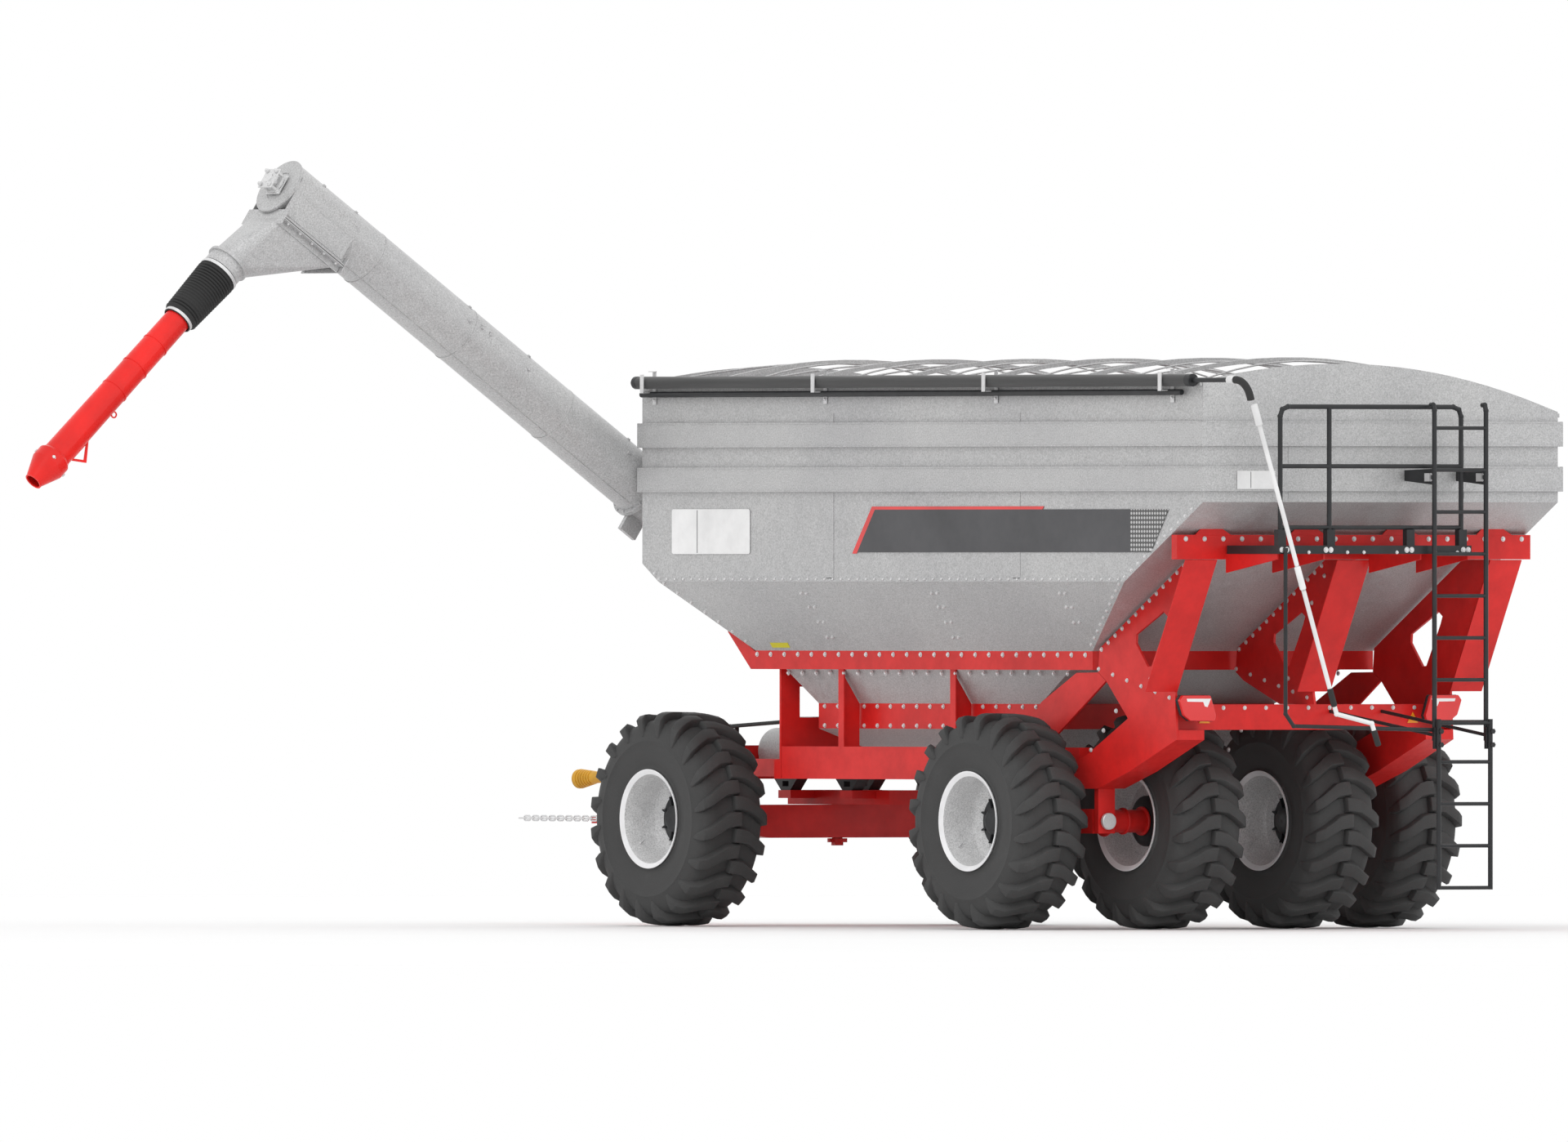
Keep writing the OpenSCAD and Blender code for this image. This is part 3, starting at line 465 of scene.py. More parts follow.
def wheel(tag, side):
    """Lugged tyre, rim and hub of one wheel. side is +1 where the deep side of the rim faces left."""
    low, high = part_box("tyre_" + tag)
    centre = (low + high) / 2
    body = "wheel_" + tag
    across = Matrix.Translation(centre) @ Matrix(((0, 1, 0, 0), (0, 0, 1, 0), (1, 0, 0, 0), (0, 0, 0, 1)))
    bm = bmesh.new()
    profile = CARCASS + [(0.750, 0.0)] + [(r, -w) for r, w in CARCASS[::-1]]
    add_lathe(bm, profile, across, 120, True)

    def point(angle, r, w):
        return centre + Vector((r * math.sin(angle), w, r * math.cos(angle)))

    for hand in (1, -1):
        for i in range(LUGS):
            nose = (i + (0 if hand > 0 else 0.5)) * PITCH
            rings = []
            for turn, base, top, (rb, wb), (rt, wt) in LUG:
                ang = nose - turn
                rings.append([bm.verts.new(point(ang - base, rb, hand * wb)),
                              bm.verts.new(point(ang - top, rt, hand * wt)),
                              bm.verts.new(point(ang + top, rt, hand * wt)),
                              bm.verts.new(point(ang + base, rb, hand * wb))])
            bm.faces.new(rings[0])
            bm.faces.new(rings[-1][::-1])
            for a, b in zip(rings, rings[1:]):
                for k in range(4):
                    bm.faces.new((a[k], a[(k + 1) % 4], b[(k + 1) % 4], b[k]))
    build("lugged_tyre_" + tag, bm, TYRE, body, 38, 0.006, ["tyre_" + tag])

    deep = across @ (Matrix.Identity(4) if side > 0 else Matrix.Rotation(math.pi, 4, "X"))
    bm = bmesh.new()
    outer = [(0.372, 0.2800), (0.369, 0.2815), (0.361, 0.2790), (0.348, 0.2700)]
    barrel = [(0.334, 0.262), (0.330, 0.235), (0.326, 0.190), (0.318, 0.120), (0.316, 0.020),
              (0.300, -0.004), (0.150, -0.020), (0.150, -0.046), (0.300, -0.030), (0.318, -0.060),
              (0.322, -0.160), (0.330, -0.235), (0.334, -0.262)]
    back = [(0.338, -0.250), (0.338, 0.250)]
    add_lathe(bm, barrel + back, deep, 72, True, 0)
    for s in (1, -1):
        ring = [(r, s * w) for r, w in outer] + [(0.334, s * 0.262), (0.338, s * 0.250),
                                                  (0.366, s * 0.266)]
        add_lathe(bm, ring, deep, 72, True, 1)
    valve = deep @ Vector((0.318 * math.cos(2.1), 0.318 * math.sin(2.1), 0.13))
    add_rod(bm, valve, valve + (deep.to_3x3() @ Vector((-0.02, -0.03, 0.05))), 0.006, 10, 0)
    build("rim_barrel_" + tag, bm, [RIM, RIM_LIP], body, 35, 0, ["rim_" + tag])

    bm = bmesh.new()
    hub = [(0.060, -0.122), (0.150, -0.122), (0.188, -0.100), (0.190, -0.062), (0.190, 0.002),
           (0.178, 0.012), (0.120, 0.016), (0.104, 0.030), (0.094, 0.058), (0.070, 0.066),
           (0.0005, 0.068), (0.0005, 0.050), (0.060, 0.048)]
    add_lathe(bm, hub, deep, 56, True)
    for i in range(8):
        t = math.pi * (i + 0.5) / 4
        flat = deep @ Matrix.Rotation(t, 4, "Z")
        add_box(bm, (0.095, -0.006, 0.012), (0.176, 0.006, 0.040), 0, flat)
    build("hub_" + tag, bm, BLACK, body, 35, 0.002)
    bm = bmesh.new()
    for i in range(10):
        t = 2 * math.pi * i / 10
        p = Vector((0.222 * math.cos(t), 0.222 * math.sin(t), -0.0125))
        add_bolt(bm, deep @ p, deep.to_3x3() @ Vector((0, 0, 1)), 0.016, t)
        p.z = -0.0385
        add_bolt(bm, deep @ p, deep.to_3x3() @ Vector((0, 0, -1)), 0.016, t)
    build("wheel_nuts_" + tag, bm, BOLT, body, 30)


for tag, side in (("fl", 1), ("fr", -1), ("lo", 1), ("li", -1), ("ri", 1), ("ro", -1)):
    wheel(tag, side)

floor = bmesh.new()
bmesh.ops.create_circle(floor, cap_ends=True, radius=38, segments=96)
floor_mesh = bpy.data.meshes.new("floor")
floor.to_mesh(floor_mesh)
floor.free()
floor_object = bpy.data.objects.new("floor", floor_mesh)
floor_object.location = (-6, 0, GROUND - 0.002)
scene.collection.objects.link(floor_object)
floor_mesh.materials.append(pale_floor())

# ---------------------------------------------------------------- hopper

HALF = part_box("hopper_shell")[1].y
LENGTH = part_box("hopper_shell")[1].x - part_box("hopper_shell")[0].x
RAIL = (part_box("lower_rail")[0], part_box("lower_rail")[1])
RAIL_HALF = RAIL[1].y
RAIL_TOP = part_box("hopper_shell")[0].z - GROUND
RAIL_LOW = RAIL[0].z - GROUND
KNEE = 2.575
REAR_LOW, REAR_KNEE, FRONT_LOW, FRONT_KNEE = 5.342, 3.163, 1.0, 2.710
ACROSS, BACK = Vector((0, 1, 0)), Vector((-1, 0, 0))


def slope_normal(p, q, r):
    """The unit normal of the plane through three points."""
    return (Vector(q) - Vector(p)).cross(Vector(r) - Vector(p)).normalized()


bm = bmesh.new()
for s in (1, -1):
    side = s * ACROSS
    lower = (at(FRONT_LOW, s * RAIL_HALF, RAIL_TOP), at(REAR_LOW, s * RAIL_HALF, RAIL_TOP),
             at(FRONT_LOW, s * HALF, KNEE))
    n = slope_normal(*lower)
    n = n if n.y * s > 0 else -n
    bolt_row(bm, at(0.22, s * HALF, KNEE + 0.02), at(6.15, s * HALF, KNEE + 0.02), 56, side, 0.010)
    for x in (2.02, 3.72, 5.36):
        for dx in (-0.035, 0.035):
            for k in (0.16, 0.36, 0.58, 0.80):
                z = KNEE + (RAIL_TOP - KNEE) * k
                w = HALF + (RAIL_HALF - HALF) * k
                a = x + dx + k * (0.05 if x < 3 else -0.04)
                if k < 0.7 or a < 4.9:
                    add_bolt(bm, at(a, s * w, z) + n * 0.001, n, 0.011, rng.random())
    # corner seams: up the front and rear slopes
    for a0, z0, a1, z1, count in ((FRONT_LOW, RAIL_TOP, 0.0, FRONT_KNEE, 9),
                                  (REAR_LOW, RAIL_TOP, LENGTH, REAR_KNEE, 22)):
        for i in range(1, count):
            t = i / count
            z = z0 + (z1 - z0) * t
            k = max(0, min(1, (KNEE - z) / (KNEE - RAIL_TOP)))
            inset = 0.055 if a1 > a0 else -0.055
            add_bolt(bm, at(a0 + (a1 - a0) * t - inset, s * (HALF + (RAIL_HALF - HALF) * k), z),
                     n if k > 0 else side, 0.011, rng.random())
build("hopper_bolts", bm, BOLT, "chassis", 30)

bm = bmesh.new()
SEAM = 0.0035
for s in (1, -1):
    y0, y1 = s * (HALF + 0.0005), s * (HALF + SEAM)
    for a in (2.40, 4.80):
        add_box(bm, at(a + 0.09, min(y0, y1), 3.762), at(a, max(y0, y1), 3.83))
        add_box(bm, at(a + 0.09, min(y0, y1), 2.60), at(a, max(y0, y1), 3.238))
    add_box(bm, at(6.16, min(y0, y1), 2.577), at(0.24, max(y0, y1), 2.605))
    top = 4.052 if s > 0 else 3.822
    add_box(bm, at(7.21, s * HALF if s > 0 else s * (HALF + 0.022), top - 0.03),
            at(0.01, s * (HALF + 0.022) if s > 0 else s * HALF, top))
    for z in (3.246, 3.579, 3.418, 3.751):
        w = HALF + 0.028
        add_box(bm, at(7.24, s * w if s > 0 else s * (w + 0.004), z),
                at(-0.02, s * (w + 0.004) if s > 0 else s * w, z + 0.010))
for a, out in ((LENGTH, -1), (0.0, 1)):
    x = FRONT - a
    for y in (-0.80, 0.80):
        low, high = (x - 0.0035, x) if out < 0 else (x, x + 0.0035)
        for z0, z1 in ((2.76 if out > 0 else 3.19, 3.238), (3.428, 3.571), (3.762, 3.80)):
            add_box(bm, (low, y - 0.045, GROUND + z0), (high, y + 0.045, GROUND + z1))
    for z in (3.246, 3.579, 3.418, 3.751):
        low, high = (x - 0.032, x - 0.028) if out < 0 else (x + 0.028, x + 0.032)
        add_box(bm, (low, -HALF, GROUND + z), (high, HALF, GROUND + z + 0.010))
build("sheet_seams", bm, ZINC_SHEET, "chassis", 0)

# bolts on the rails
bm = bmesh.new()
for s in (1, -1):
    side = s * ACROSS
    bolt_row(bm, at(1.02, s * RAIL_HALF, RAIL_TOP - 0.028), at(5.25, s * RAIL_HALF, RAIL_TOP - 0.028), 25,
             side, 0.014)
    mid_low, mid_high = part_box("mid_rail")
    bolt_row(bm, (mid_high.x - 0.08, s * mid_high.y, mid_high.z - 0.022),
             (mid_low.x + 0.06, s * mid_high.y, mid_high.z - 0.022), 17, side, 0.013)
    bolt_row(bm, (mid_high.x - 0.08, s * mid_high.y, mid_low.z + 0.022),
             (mid_low.x + 0.06, s * mid_high.y, mid_low.z + 0.022), 17, side, 0.013)
    bolt_row(bm, at(1.36, s * 1.233, RAIL_LOW - 0.028), at(4.96, s * 1.233, RAIL_LOW - 0.028), 21,
             side, 0.013)
band_low, band_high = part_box("rear_band")
bolt_row(bm, (band_low.x + 0.65, -1.53, band_high.z - 0.03), (band_low.x + 0.65, 1.53, band_high.z - 0.03),
         19, BACK, 0.014)
build("rail_bolt_heads", bm, BOLT, "chassis", 30, 0, ["rail_bolts"])

# ---------------------------------------------------------------- red frame


def bent_flange(bm, a0, z0, a1, z1, y0, y1, t=0.010):
    """A flat strip from (a0, z0) to (a1, z1), spanning y0 to y1, lying across the A-frame's plane."""
    p, q = at(a0, 0, z0), at(a1, 0, z1)
    normal = (q - p).cross(ACROSS).normalized() * t
    add_plate(bm, [Vector((v.x, y, v.z)) for v, y in ((p, y0), (p, y1), (q, y1), (q, y0))], normal)


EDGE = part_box("a_frames")[1].y
bm = bmesh.new()
for y0, y1 in ((EDGE - 0.020, EDGE + 0.270), (-EDGE - 0.270, 0.020 - EDGE), (-0.150, 0.150)):
    bent_flange(bm, 6.880, 2.735, 6.372, 1.762, y0, y1)
build("a_frame_flanges", bm, RED, "chassis", 0, 0.003)

bm = bmesh.new()
for y, sign in ((EDGE, 1), (-EDGE, -1), (0.010, 1)):
    side = sign * ACROSS
    for i in range(13):
        t = i / 12
        add_bolt(bm, at(5.435 + 1.05 * t, y, 2.075 + 0.62 * t), side, 0.013, rng.random())
    if y:
        bolt_row(bm, at(5.40, y, 1.93), at(6.30, y, 1.72), 6, side, 0.012)
        bolt_row(bm, at(5.62, y, 1.62), at(5.30, y, 1.33), 3, side, 0.013)
        for a, z in ((6.06, 1.86), (6.36, 2.42), (6.52, 2.62)):
            add_bolt(bm, at(a, y, z), side, 0.013)
beam_low, beam_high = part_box("rear_beam")
bolt_row(bm, (beam_low.x, -1.16, beam_high.z - 0.025), (beam_low.x, 1.16, beam_high.z - 0.025), 13,
         BACK, 0.012)
build("frame_bolts", bm, BOLT, "chassis", 30)

# gussets under the platform's band
bm = bmesh.new()
for y in (-1.28, -0.42, 0.42, 1.28):
    x = band_low.x + 0.66
    add_plate(bm, [(x, y - 0.17, band_high.z - 0.005), (x, y + 0.17, band_high.z - 0.005),
                   (x, y + 0.08, band_high.z + 0.075), (x, y - 0.01, band_high.z + 0.085)], (-0.012, 0, 0))
build("band_gussets", bm, RED, "chassis", 0, 0.002)

# pin caps at the rockers
bm = bmesh.new()
for s in (1, -1):
    pin_low, pin_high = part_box("pivot_pins")
    y = s * (pin_high.y - 0.045)
    for x, d in ((pin_high.x, 1), (pin_low.x, -1)):
        add_rod(bm, (x - d * 0.012, y, (pin_low.z + pin_high.z) / 2),
                (x + d * 0.022, y, (pin_low.z + pin_high.z) / 2), 0.062, 32, 0, 0.006)
build("pin_caps", bm, BOLT, "chassis", 30)

for tag, s in (("l", 1), ("r", -1)):
    bm = bmesh.new()
    for wheel_tag in (("lo", "li") if s > 0 else ("ro", "ri")):
        low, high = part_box("tyre_" + wheel_tag)
        c = (low + high) / 2
        inward = -s if wheel_tag[1] == "o" else s
        y0 = s * 1.1575 - inward * 0.075
        y1 = c.y + inward * 0.135
        for y, r, t in ((y0, 0.115, 0.020), ((y0 + y1) / 2, 0.100, 0.016), (y1, 0.108, 0.018)):
            add_rod(bm, (c.x, y - t / 2, c.z), (c.x, y + t / 2, c.z), r, 40, 0, 0.004)
    build("axle_flanges_" + tag, bm, RED, "rocker_" + tag, 35)

# ---------------------------------------------------------------- lamps and reflectors

bm_red, bm_white, bm_orange, bm_black = bmesh.new(), bmesh.new(), bmesh.new(), bmesh.new()
LAMP_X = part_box("tail_lights")[0].x
LAMP_MIDDLE = (1.12, 1.64)
# across the cart and above the ground
LAMP_OUTLINE = [(0.970, 1.545), (0.955, 1.585), (1.000, 1.725), (1.010, 1.737), (1.255, 1.737),
                (1.285, 1.700), (1.245, 1.590), (1.185, 1.548)]
STRIPE_OUTLINE = [(1.005, 1.712), (1.225, 1.712), (1.218, 1.690), (1.075, 1.688), (1.060, 1.655),
                  (1.035, 1.650)]
TRIANGLE = [(1.00, 1.53), (1.10, 1.53), (1.05, 1.61)]


def lamp_outline(x, s, grow=0.0):
    """The lamp's outline at x on side s, made larger about its middle by the share grow."""
    cy, cz = LAMP_MIDDLE
    return [(x, s * (cy + (y - cy) * (1 + grow)), GROUND + cz + (z - cz) * (1 + grow))
            for y, z in LAMP_OUTLINE]


for s in (1, -1):
    add_plate(bm_black, lamp_outline(LAMP_X + 0.068, s, 0.02), (-0.030, 0, 0))
    add_plate(bm_red, lamp_outline(LAMP_X + 0.040, s), (-0.034, 0, 0))
    add_plate(bm_white, [(LAMP_X + 0.008, s * y, GROUND + z) for y, z in STRIPE_OUTLINE], (-0.004, 0, 0))
    add_plate(bm_orange, [(beam_low.x - 0.001, s * (y - 0.10), GROUND + z) for y, z in TRIANGLE],
              (-0.006, 0, 0))
build("lamp_housings", bm_black, BLACK, "chassis", 0, 0.004)
build("lamp_lenses", bm_red, LAMP, "chassis", 0, 0.006, ["tail_lights"])
build("lamp_stripes", bm_white, LAMP_WHITE, "chassis", 0, 0.001)
build("reflectors", bm_orange, ORANGE, "chassis", 0, 0.001)

# ---------------------------------------------------------------- panels

panel_y = HALF + 0.0045
bm = bmesh.new()


def side_outline(points, y):
    return [at(a, y, z) for a, z in points]


add_plate(bm, side_outline([(2.800, 2.795), (3.028, 3.112), (6.300, 3.112), (6.300, 2.795)], panel_y),
          (0, 0.002, 0), 0)
add_plate(bm, side_outline([(6.300, 2.795), (6.300, 3.112), (6.790, 3.112), (6.560, 2.795)], panel_y),
          (0, 0.002, 0), 1)
build("side_film", bm, [FILM, FILM_DOTS], "chassis", 0, 0, ["side_panels"])
bm = bmesh.new()
add_plate(bm, side_outline([(2.735, 2.785), (2.990, 3.135), (5.200, 3.135), (5.180, 3.112), (3.028, 3.112),
                            (2.800, 2.795), (2.792, 2.785)], panel_y), (0, 0.002, 0))
build("side_film_edge", bm, LAMP, "chassis", 0)
bm = bmesh.new()
add_plate(bm, side_outline([(0.395, 2.795), (0.395, 3.105), (0.410, 3.118), (1.395, 3.118), (1.410, 3.105),
                            (1.410, 2.795), (1.395, 2.782), (0.410, 2.782)], panel_y), (0, 0.003, 0))
rear_x = FRONT - LENGTH - 0.028
add_plate(bm, [(rear_x - 0.003, y, GROUND + z) for y, z in
               ((0.985, 3.260), (0.985, 3.395), (1.330, 3.395), (1.330, 3.260))], (-0.003, 0, 0))
build("white_panels", bm, WHITE, "chassis", 0, 0.0008)
bm = bmesh.new()
add_box(bm, at(0.730, panel_y, 2.79), at(0.724, panel_y + 0.0045, 3.11))
y0, y1 = 1.205, 1.209
add_box(bm, (rear_x - 0.0075, y0, GROUND + 3.268), (rear_x - 0.003, y1, GROUND + 3.388))
build("panel_lines", bm, FILM, "chassis", 0)
bm = bmesh.new()
n = slope_normal(at(1.2, RAIL_HALF, RAIL_TOP), at(1.5, RAIL_HALF, RAIL_TOP), at(1.2, HALF, KNEE))
n = n if n.y > 0 else -n
k0, k1 = 0.045, 0.115
pts = [(a, RAIL_HALF + (HALF - RAIL_HALF) * k, RAIL_TOP + (KNEE - RAIL_TOP) * k)
       for a, k in ((1.24, k0), (1.47, k0), (1.47, k1), (1.24, k1))]
add_plate(bm, [at(*p) + n * 0.001 for p in pts], n * 0.002)
build("yellow_label", bm, LABEL, "chassis", 0)

# ---------------------------------------------------------------- cover, roll and crank

roll_low, roll_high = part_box("tarp_roll")
roll_y = (roll_low.y + roll_high.y) / 2
roll_z = (roll_low.z + roll_high.z) / 2
bm = bmesh.new()
ring = 40
loops = []
for k in range(61):
    x = FRONT - 0.020 - 7.150 * k / 60
    row = []
    for i in range(ring):
        t = 2 * math.pi * i / ring
        r = 0.0468 - 0.0016 * ((t / (2 * math.pi) + 0.02 * math.sin(k * 0.9)) % 1)
        r += 0.0008 * math.sin(5 * t + k * 0.7)
        row.append(bm.verts.new((x, roll_y + r * math.cos(t), roll_z + r * math.sin(t))))
    loops.append(row)
bm.faces.new(loops[0][::-1])
bm.faces.new(loops[-1])
for a, b in zip(loops, loops[1:]):
    for i in range(ring):
        bm.faces.new((a[i], a[(i + 1) % ring], b[(i + 1) % ring], b[i]))
build("rolled_cover", bm, CLOTH, "roll", 60, 0, ["tarp_roll"])
bm = bmesh.new()
add_rod(bm, (roll_high.x, roll_y, roll_z), (FRONT + 0.01, roll_y, roll_z), 0.030, 24, 0, 0.004)
add_rod(bm, (FRONT - 0.006, roll_y, roll_z), (FRONT - 0.06, roll_y, roll_z), 0.048, 32, 0, 0.006)
add_rod(bm, (FRONT - 7.12, roll_y, roll_z), (FRONT - 7.19, roll_y, roll_z), 0.048, 32, 0, 0.006)
add_rod(bm, (FRONT - 7.18, roll_y, roll_z), (roll_low.x, roll_y, roll_z), 0.018, 20)
build("roll_tube", bm, BLACK, "roll", 35)

bm = bmesh.new()
for a in (0.170, 2.390, 4.590, 6.840):
    y = HALF + 0.004
    add_box(bm, at(a + 0.022, y, 3.900), at(a - 0.022, y + 0.006, 4.150))
    add_box(bm, at(a + 0.022, y, 3.985), at(a - 0.022, y + 0.120, 3.993))
    add_box(bm, at(a + 0.022, y + 0.116, 3.985), at(a - 0.022, y + 0.122, 4.125))
    add_box(bm, at(a + 0.022, y, 4.144), at(a - 0.022, y + 0.045, 4.150))
    add_bolt(bm, at(a, y + 0.006, 3.935), (0, 1, 0), 0.012)
    add_bolt(bm, at(a, y + 0.006, 3.965), (0, 1, 0), 0.012)
build("roll_brackets", bm, BOLT, "chassis", 0, 0.0015, ["tarp_brackets"])
bm = bmesh.new()
add_rod(bm, at(0.06, HALF + 0.05, 3.975), at(7.02, HALF + 0.05, 3.975), 0.022, 20, 0, 0.003)
build("catch_tube", bm, BLACK, "chassis", 35)
bm = bmesh.new()
add_rod(bm, at(7.640, HALF + 0.066, 4.062), at(7.716, HALF + 0.066, 4.062), 0.034, 24, 0, 0.004)
build("elbow_clamp", bm, BOLT, "roll", 35)

# a second set of bars that lies across the first, as the cover's cords do
bm = bmesh.new()


CROWN_Z, CROWN_Y = 4.235, 0.3


def bow_z(y):
    """Height of the cover's bows above the ground, at y across the cart."""
    fall, half = (0.165, HALF - CROWN_Y) if y > CROWN_Y else (0.395, HALF + CROWN_Y)
    return CROWN_Z - fall * ((y - CROWN_Y) / half) ** 2


stations = [0.12, 1.30, 2.50, 3.70, 4.90, 6.10, 7.10]
for a0, a1 in zip(stations, stations[1:]):
    for flip in (0, 1):
        path = []
        for i in range(15):
            t = i / 14
            y = (HALF - 0.03) * (1 - 2 * t)
            a = a0 + (a1 - a0) * (t if flip else 1 - t)
            path.append(at(a, y, bow_z(y) - 0.026))
        add_tube(bm, path, 0.007, 8)
build("cover_cross_bars", bm, ZINC_TUBE, "chassis", 60)

# ---------------------------------------------------------------- auger

TILT = math.radians(34.3)
HINGE = at(-0.290, 1.437, 3.285)
TUBE_R = 0.220
TUBE_END = 3.960
along = Vector((0, math.cos(TILT), math.sin(TILT)))
AUGER = axis_matrix(HINGE, along, (1, 0, 0))
# local X of the auger matrix lies in the auger's plane, pointing down and out; local Y lies along the cart
if (AUGER.to_3x3() @ Vector((1, 0, 0))).z > 0:
    AUGER = AUGER @ Matrix.Rotation(math.pi, 4, "Z")


def ring_on(bm, z0, z1, r0, r1, place=None, sides=64):
    add_lathe(bm, [(r0, z0), (r1, z0), (r1, z1), (r0, z1)], place or AUGER, sides, True)


def on_tube(angle, z, r=TUBE_R):
    """A point z up the auger, r from its axis, at an angle round it."""
    return AUGER @ Vector((r * math.cos(angle), r * math.sin(angle), z))


def off_tube(angle):
    """The direction straight out of the tube at that angle."""
    return AUGER.to_3x3() @ Vector((math.cos(angle), math.sin(angle), 0))


# seams, flanges and small fittings on the two tubes
bm = bmesh.new()
for z in (0.96, 2.02, 3.02):
    ring_on(bm, z, z + 0.014, TUBE_R - 0.001, TUBE_R + 0.0035)
WELD_ANGLE = 0.5
add_tube(bm, [on_tube(WELD_ANGLE, 0.06), on_tube(WELD_ANGLE, 3.30)], 0.004, 8)
for z in (0.35, 1.45, 2.10, 3.35, 3.70):
    for angle in (-1.1, 1.9, 2.6):
        add_bolt(bm, on_tube(angle, z), off_tube(angle), 0.014, z)
for dz in (0, 0.09):
    for dx in (-0.05, 0.05):
        add_bolt(bm, on_tube(2.05 + dx, 1.88 + dz), off_tube(2.05 + dx), 0.012, dz)
FLANGE_BOLTS, FLANGE_BOLT_R = 16, TUBE_R + 0.017
for i in range(FLANGE_BOLTS):
    t = 2 * math.pi * i / FLANGE_BOLTS
    add_bolt(bm, on_tube(t, 0.0165, FLANGE_BOLT_R), along, 0.009, t)
ring_on(bm, TUBE_END + 0.009, TUBE_END + 0.016, 0.12, TUBE_R + 0.006)
build("auger_tube_fittings", bm, ZINC_TUBE, "upper_auger", 35)

bm = bmesh.new()
for i in range(FLANGE_BOLTS):
    t = 2 * math.pi * (i + 0.5) / FLANGE_BOLTS
    add_bolt(bm, on_tube(t, -0.0165, FLANGE_BOLT_R), -along, 0.009, t)
ring_on(bm, -1.20, -1.186, TUBE_R - 0.001, TUBE_R + 0.0035)
add_box(bm, (-0.13, -0.02, -0.18), (0.13, 0.02, -0.02), 0,
        AUGER @ Matrix.Translation((TUBE_R + 0.01, 0, 0)))
build("auger_foot_fittings", bm, ZINC_TUBE, "chassis", 35)

# four-stud bearing at the top of the screw
STUD = 0.058
bm = bmesh.new()
for sx in (-1, 1):
    for sy in (-1, 1):
        for z0, z1, r, sides in ((0.012, 0.150, 0.011, 12), (0.036, 0.050, 0.018, 6),
                                 (0.126, 0.140, 0.018, 6)):
            add_rod(bm, AUGER @ Vector((sx * STUD, sy * STUD, TUBE_END + z0)),
                    AUGER @ Vector((sx * STUD, sy * STUD, TUBE_END + z1)), r, sides)
for z in (0.026, 0.112):
    add_box(bm, (-0.082, -0.082, TUBE_END + z), (0.082, 0.082, TUBE_END + z + 0.010), 0, AUGER)
build("bearing_studs", bm, BOLT, "upper_auger", 30, 0.001)

# flanges and cover plates of the discharge box
bm = bmesh.new()
box_low, box_high = 3.300, 3.940
BOX_HALF, FLANGE_Y, FLANGE_END = 0.210, 0.214, 0.262
for sy in (-1, 1):
    add_box(bm, (TUBE_R - 0.02, sy * BOX_HALF - 0.004, box_low),
            (TUBE_R + 0.10, sy * BOX_HALF + 0.004, box_high), 0, AUGER)
    for x in (0.030, 0.044):
        add_box(bm, (TUBE_R + x, sy * FLANGE_Y, box_low),
                (TUBE_R + x + 0.008, sy * FLANGE_END, box_high), 0, AUGER)
    add_box(bm, (-0.10, sy * FLANGE_Y - 0.003, box_low + 0.02),
            (TUBE_R, sy * FLANGE_Y + 0.003, box_high + 0.01), 0, AUGER)
for z in (box_low - 0.010, box_high):
    add_box(bm, (TUBE_R - 0.03, -FLANGE_END, z), (TUBE_R + 0.10, FLANGE_END, z + 0.008), 0, AUGER)
build("boot_flanges", bm, ZINC_TUBE, "upper_auger", 0, 0.001)
bm = bmesh.new()
for sy in (-1, 1):
    for i in range(5):
        z = box_low + 0.06 + i * 0.13
        p = AUGER @ Vector((TUBE_R + 0.054, sy * 0.240, z))
        add_bolt(bm, p, AUGER.to_3x3() @ Vector((1, 0, 0)), 0.010, z)
build("boot_bolts", bm, BOLT, "upper_auger", 30)

# ---------------------------------------------------------------- bellows and spout

LEAN = TILT - math.radians(90 - 12.9)
down = Vector((0, math.cos(LEAN), math.sin(LEAN)))
ORIGIN = HINGE + along * (TUBE_END - 0.100)
SPOUT = axis_matrix(ORIGIN, down, (1, 0, 0))
BOOT, BELLOWS, SPOUT_IN = 0.858, 0.540, 0.050
start = BOOT + 0.001
profile = [(0.150, 0.000), (0.158, 0.004)]
for i in range(18):
    z = 0.045 + i * 0.0245
    r = 0.158 - 0.0012 * i
    profile += [(r - 0.010, z), (r + 0.000, z + 0.006), (r + 0.002, z + 0.0115), (r, z + 0.017)]
profile += [(0.118, 0.500), (0.116, BELLOWS - 0.015), (0.108, BELLOWS - 0.015), (0.112, 0.49),
            (0.140, 0.40), (0.146, 0.03)]
bm = bmesh.new()
add_lathe(bm, [(r, z + start) for r, z in profile], SPOUT, 64, True)
build("ribbed_bellows", bm, RUBBER, "upper_auger", 30, 0, ["bellows"])


def clamp(bm, z, r, width=0.026):
    """A hose clamp round the spout's axis, with its lug and tightening screw."""
    ring_on(bm, z, z + width, r, r + 0.004, SPOUT)
    lug = SPOUT @ Matrix.Rotation(2.2, 4, "Z")
    add_box(bm, (r, -0.030, z + 0.002), (r + 0.020, 0.030, z + width - 0.002), 0, lug)
    add_rod(bm, lug @ Vector((r + 0.014, -0.045, z + width / 2)),
            lug @ Vector((r + 0.014, 0.045, z + width / 2)), 0.006, 12)


bm = bmesh.new()
clamp(bm, start + 0.006, 0.1555)
clamp(bm, start + BELLOWS - 0.046, 0.1168)
build("bellows_clamps", bm, BOLT, "upper_auger", 35)

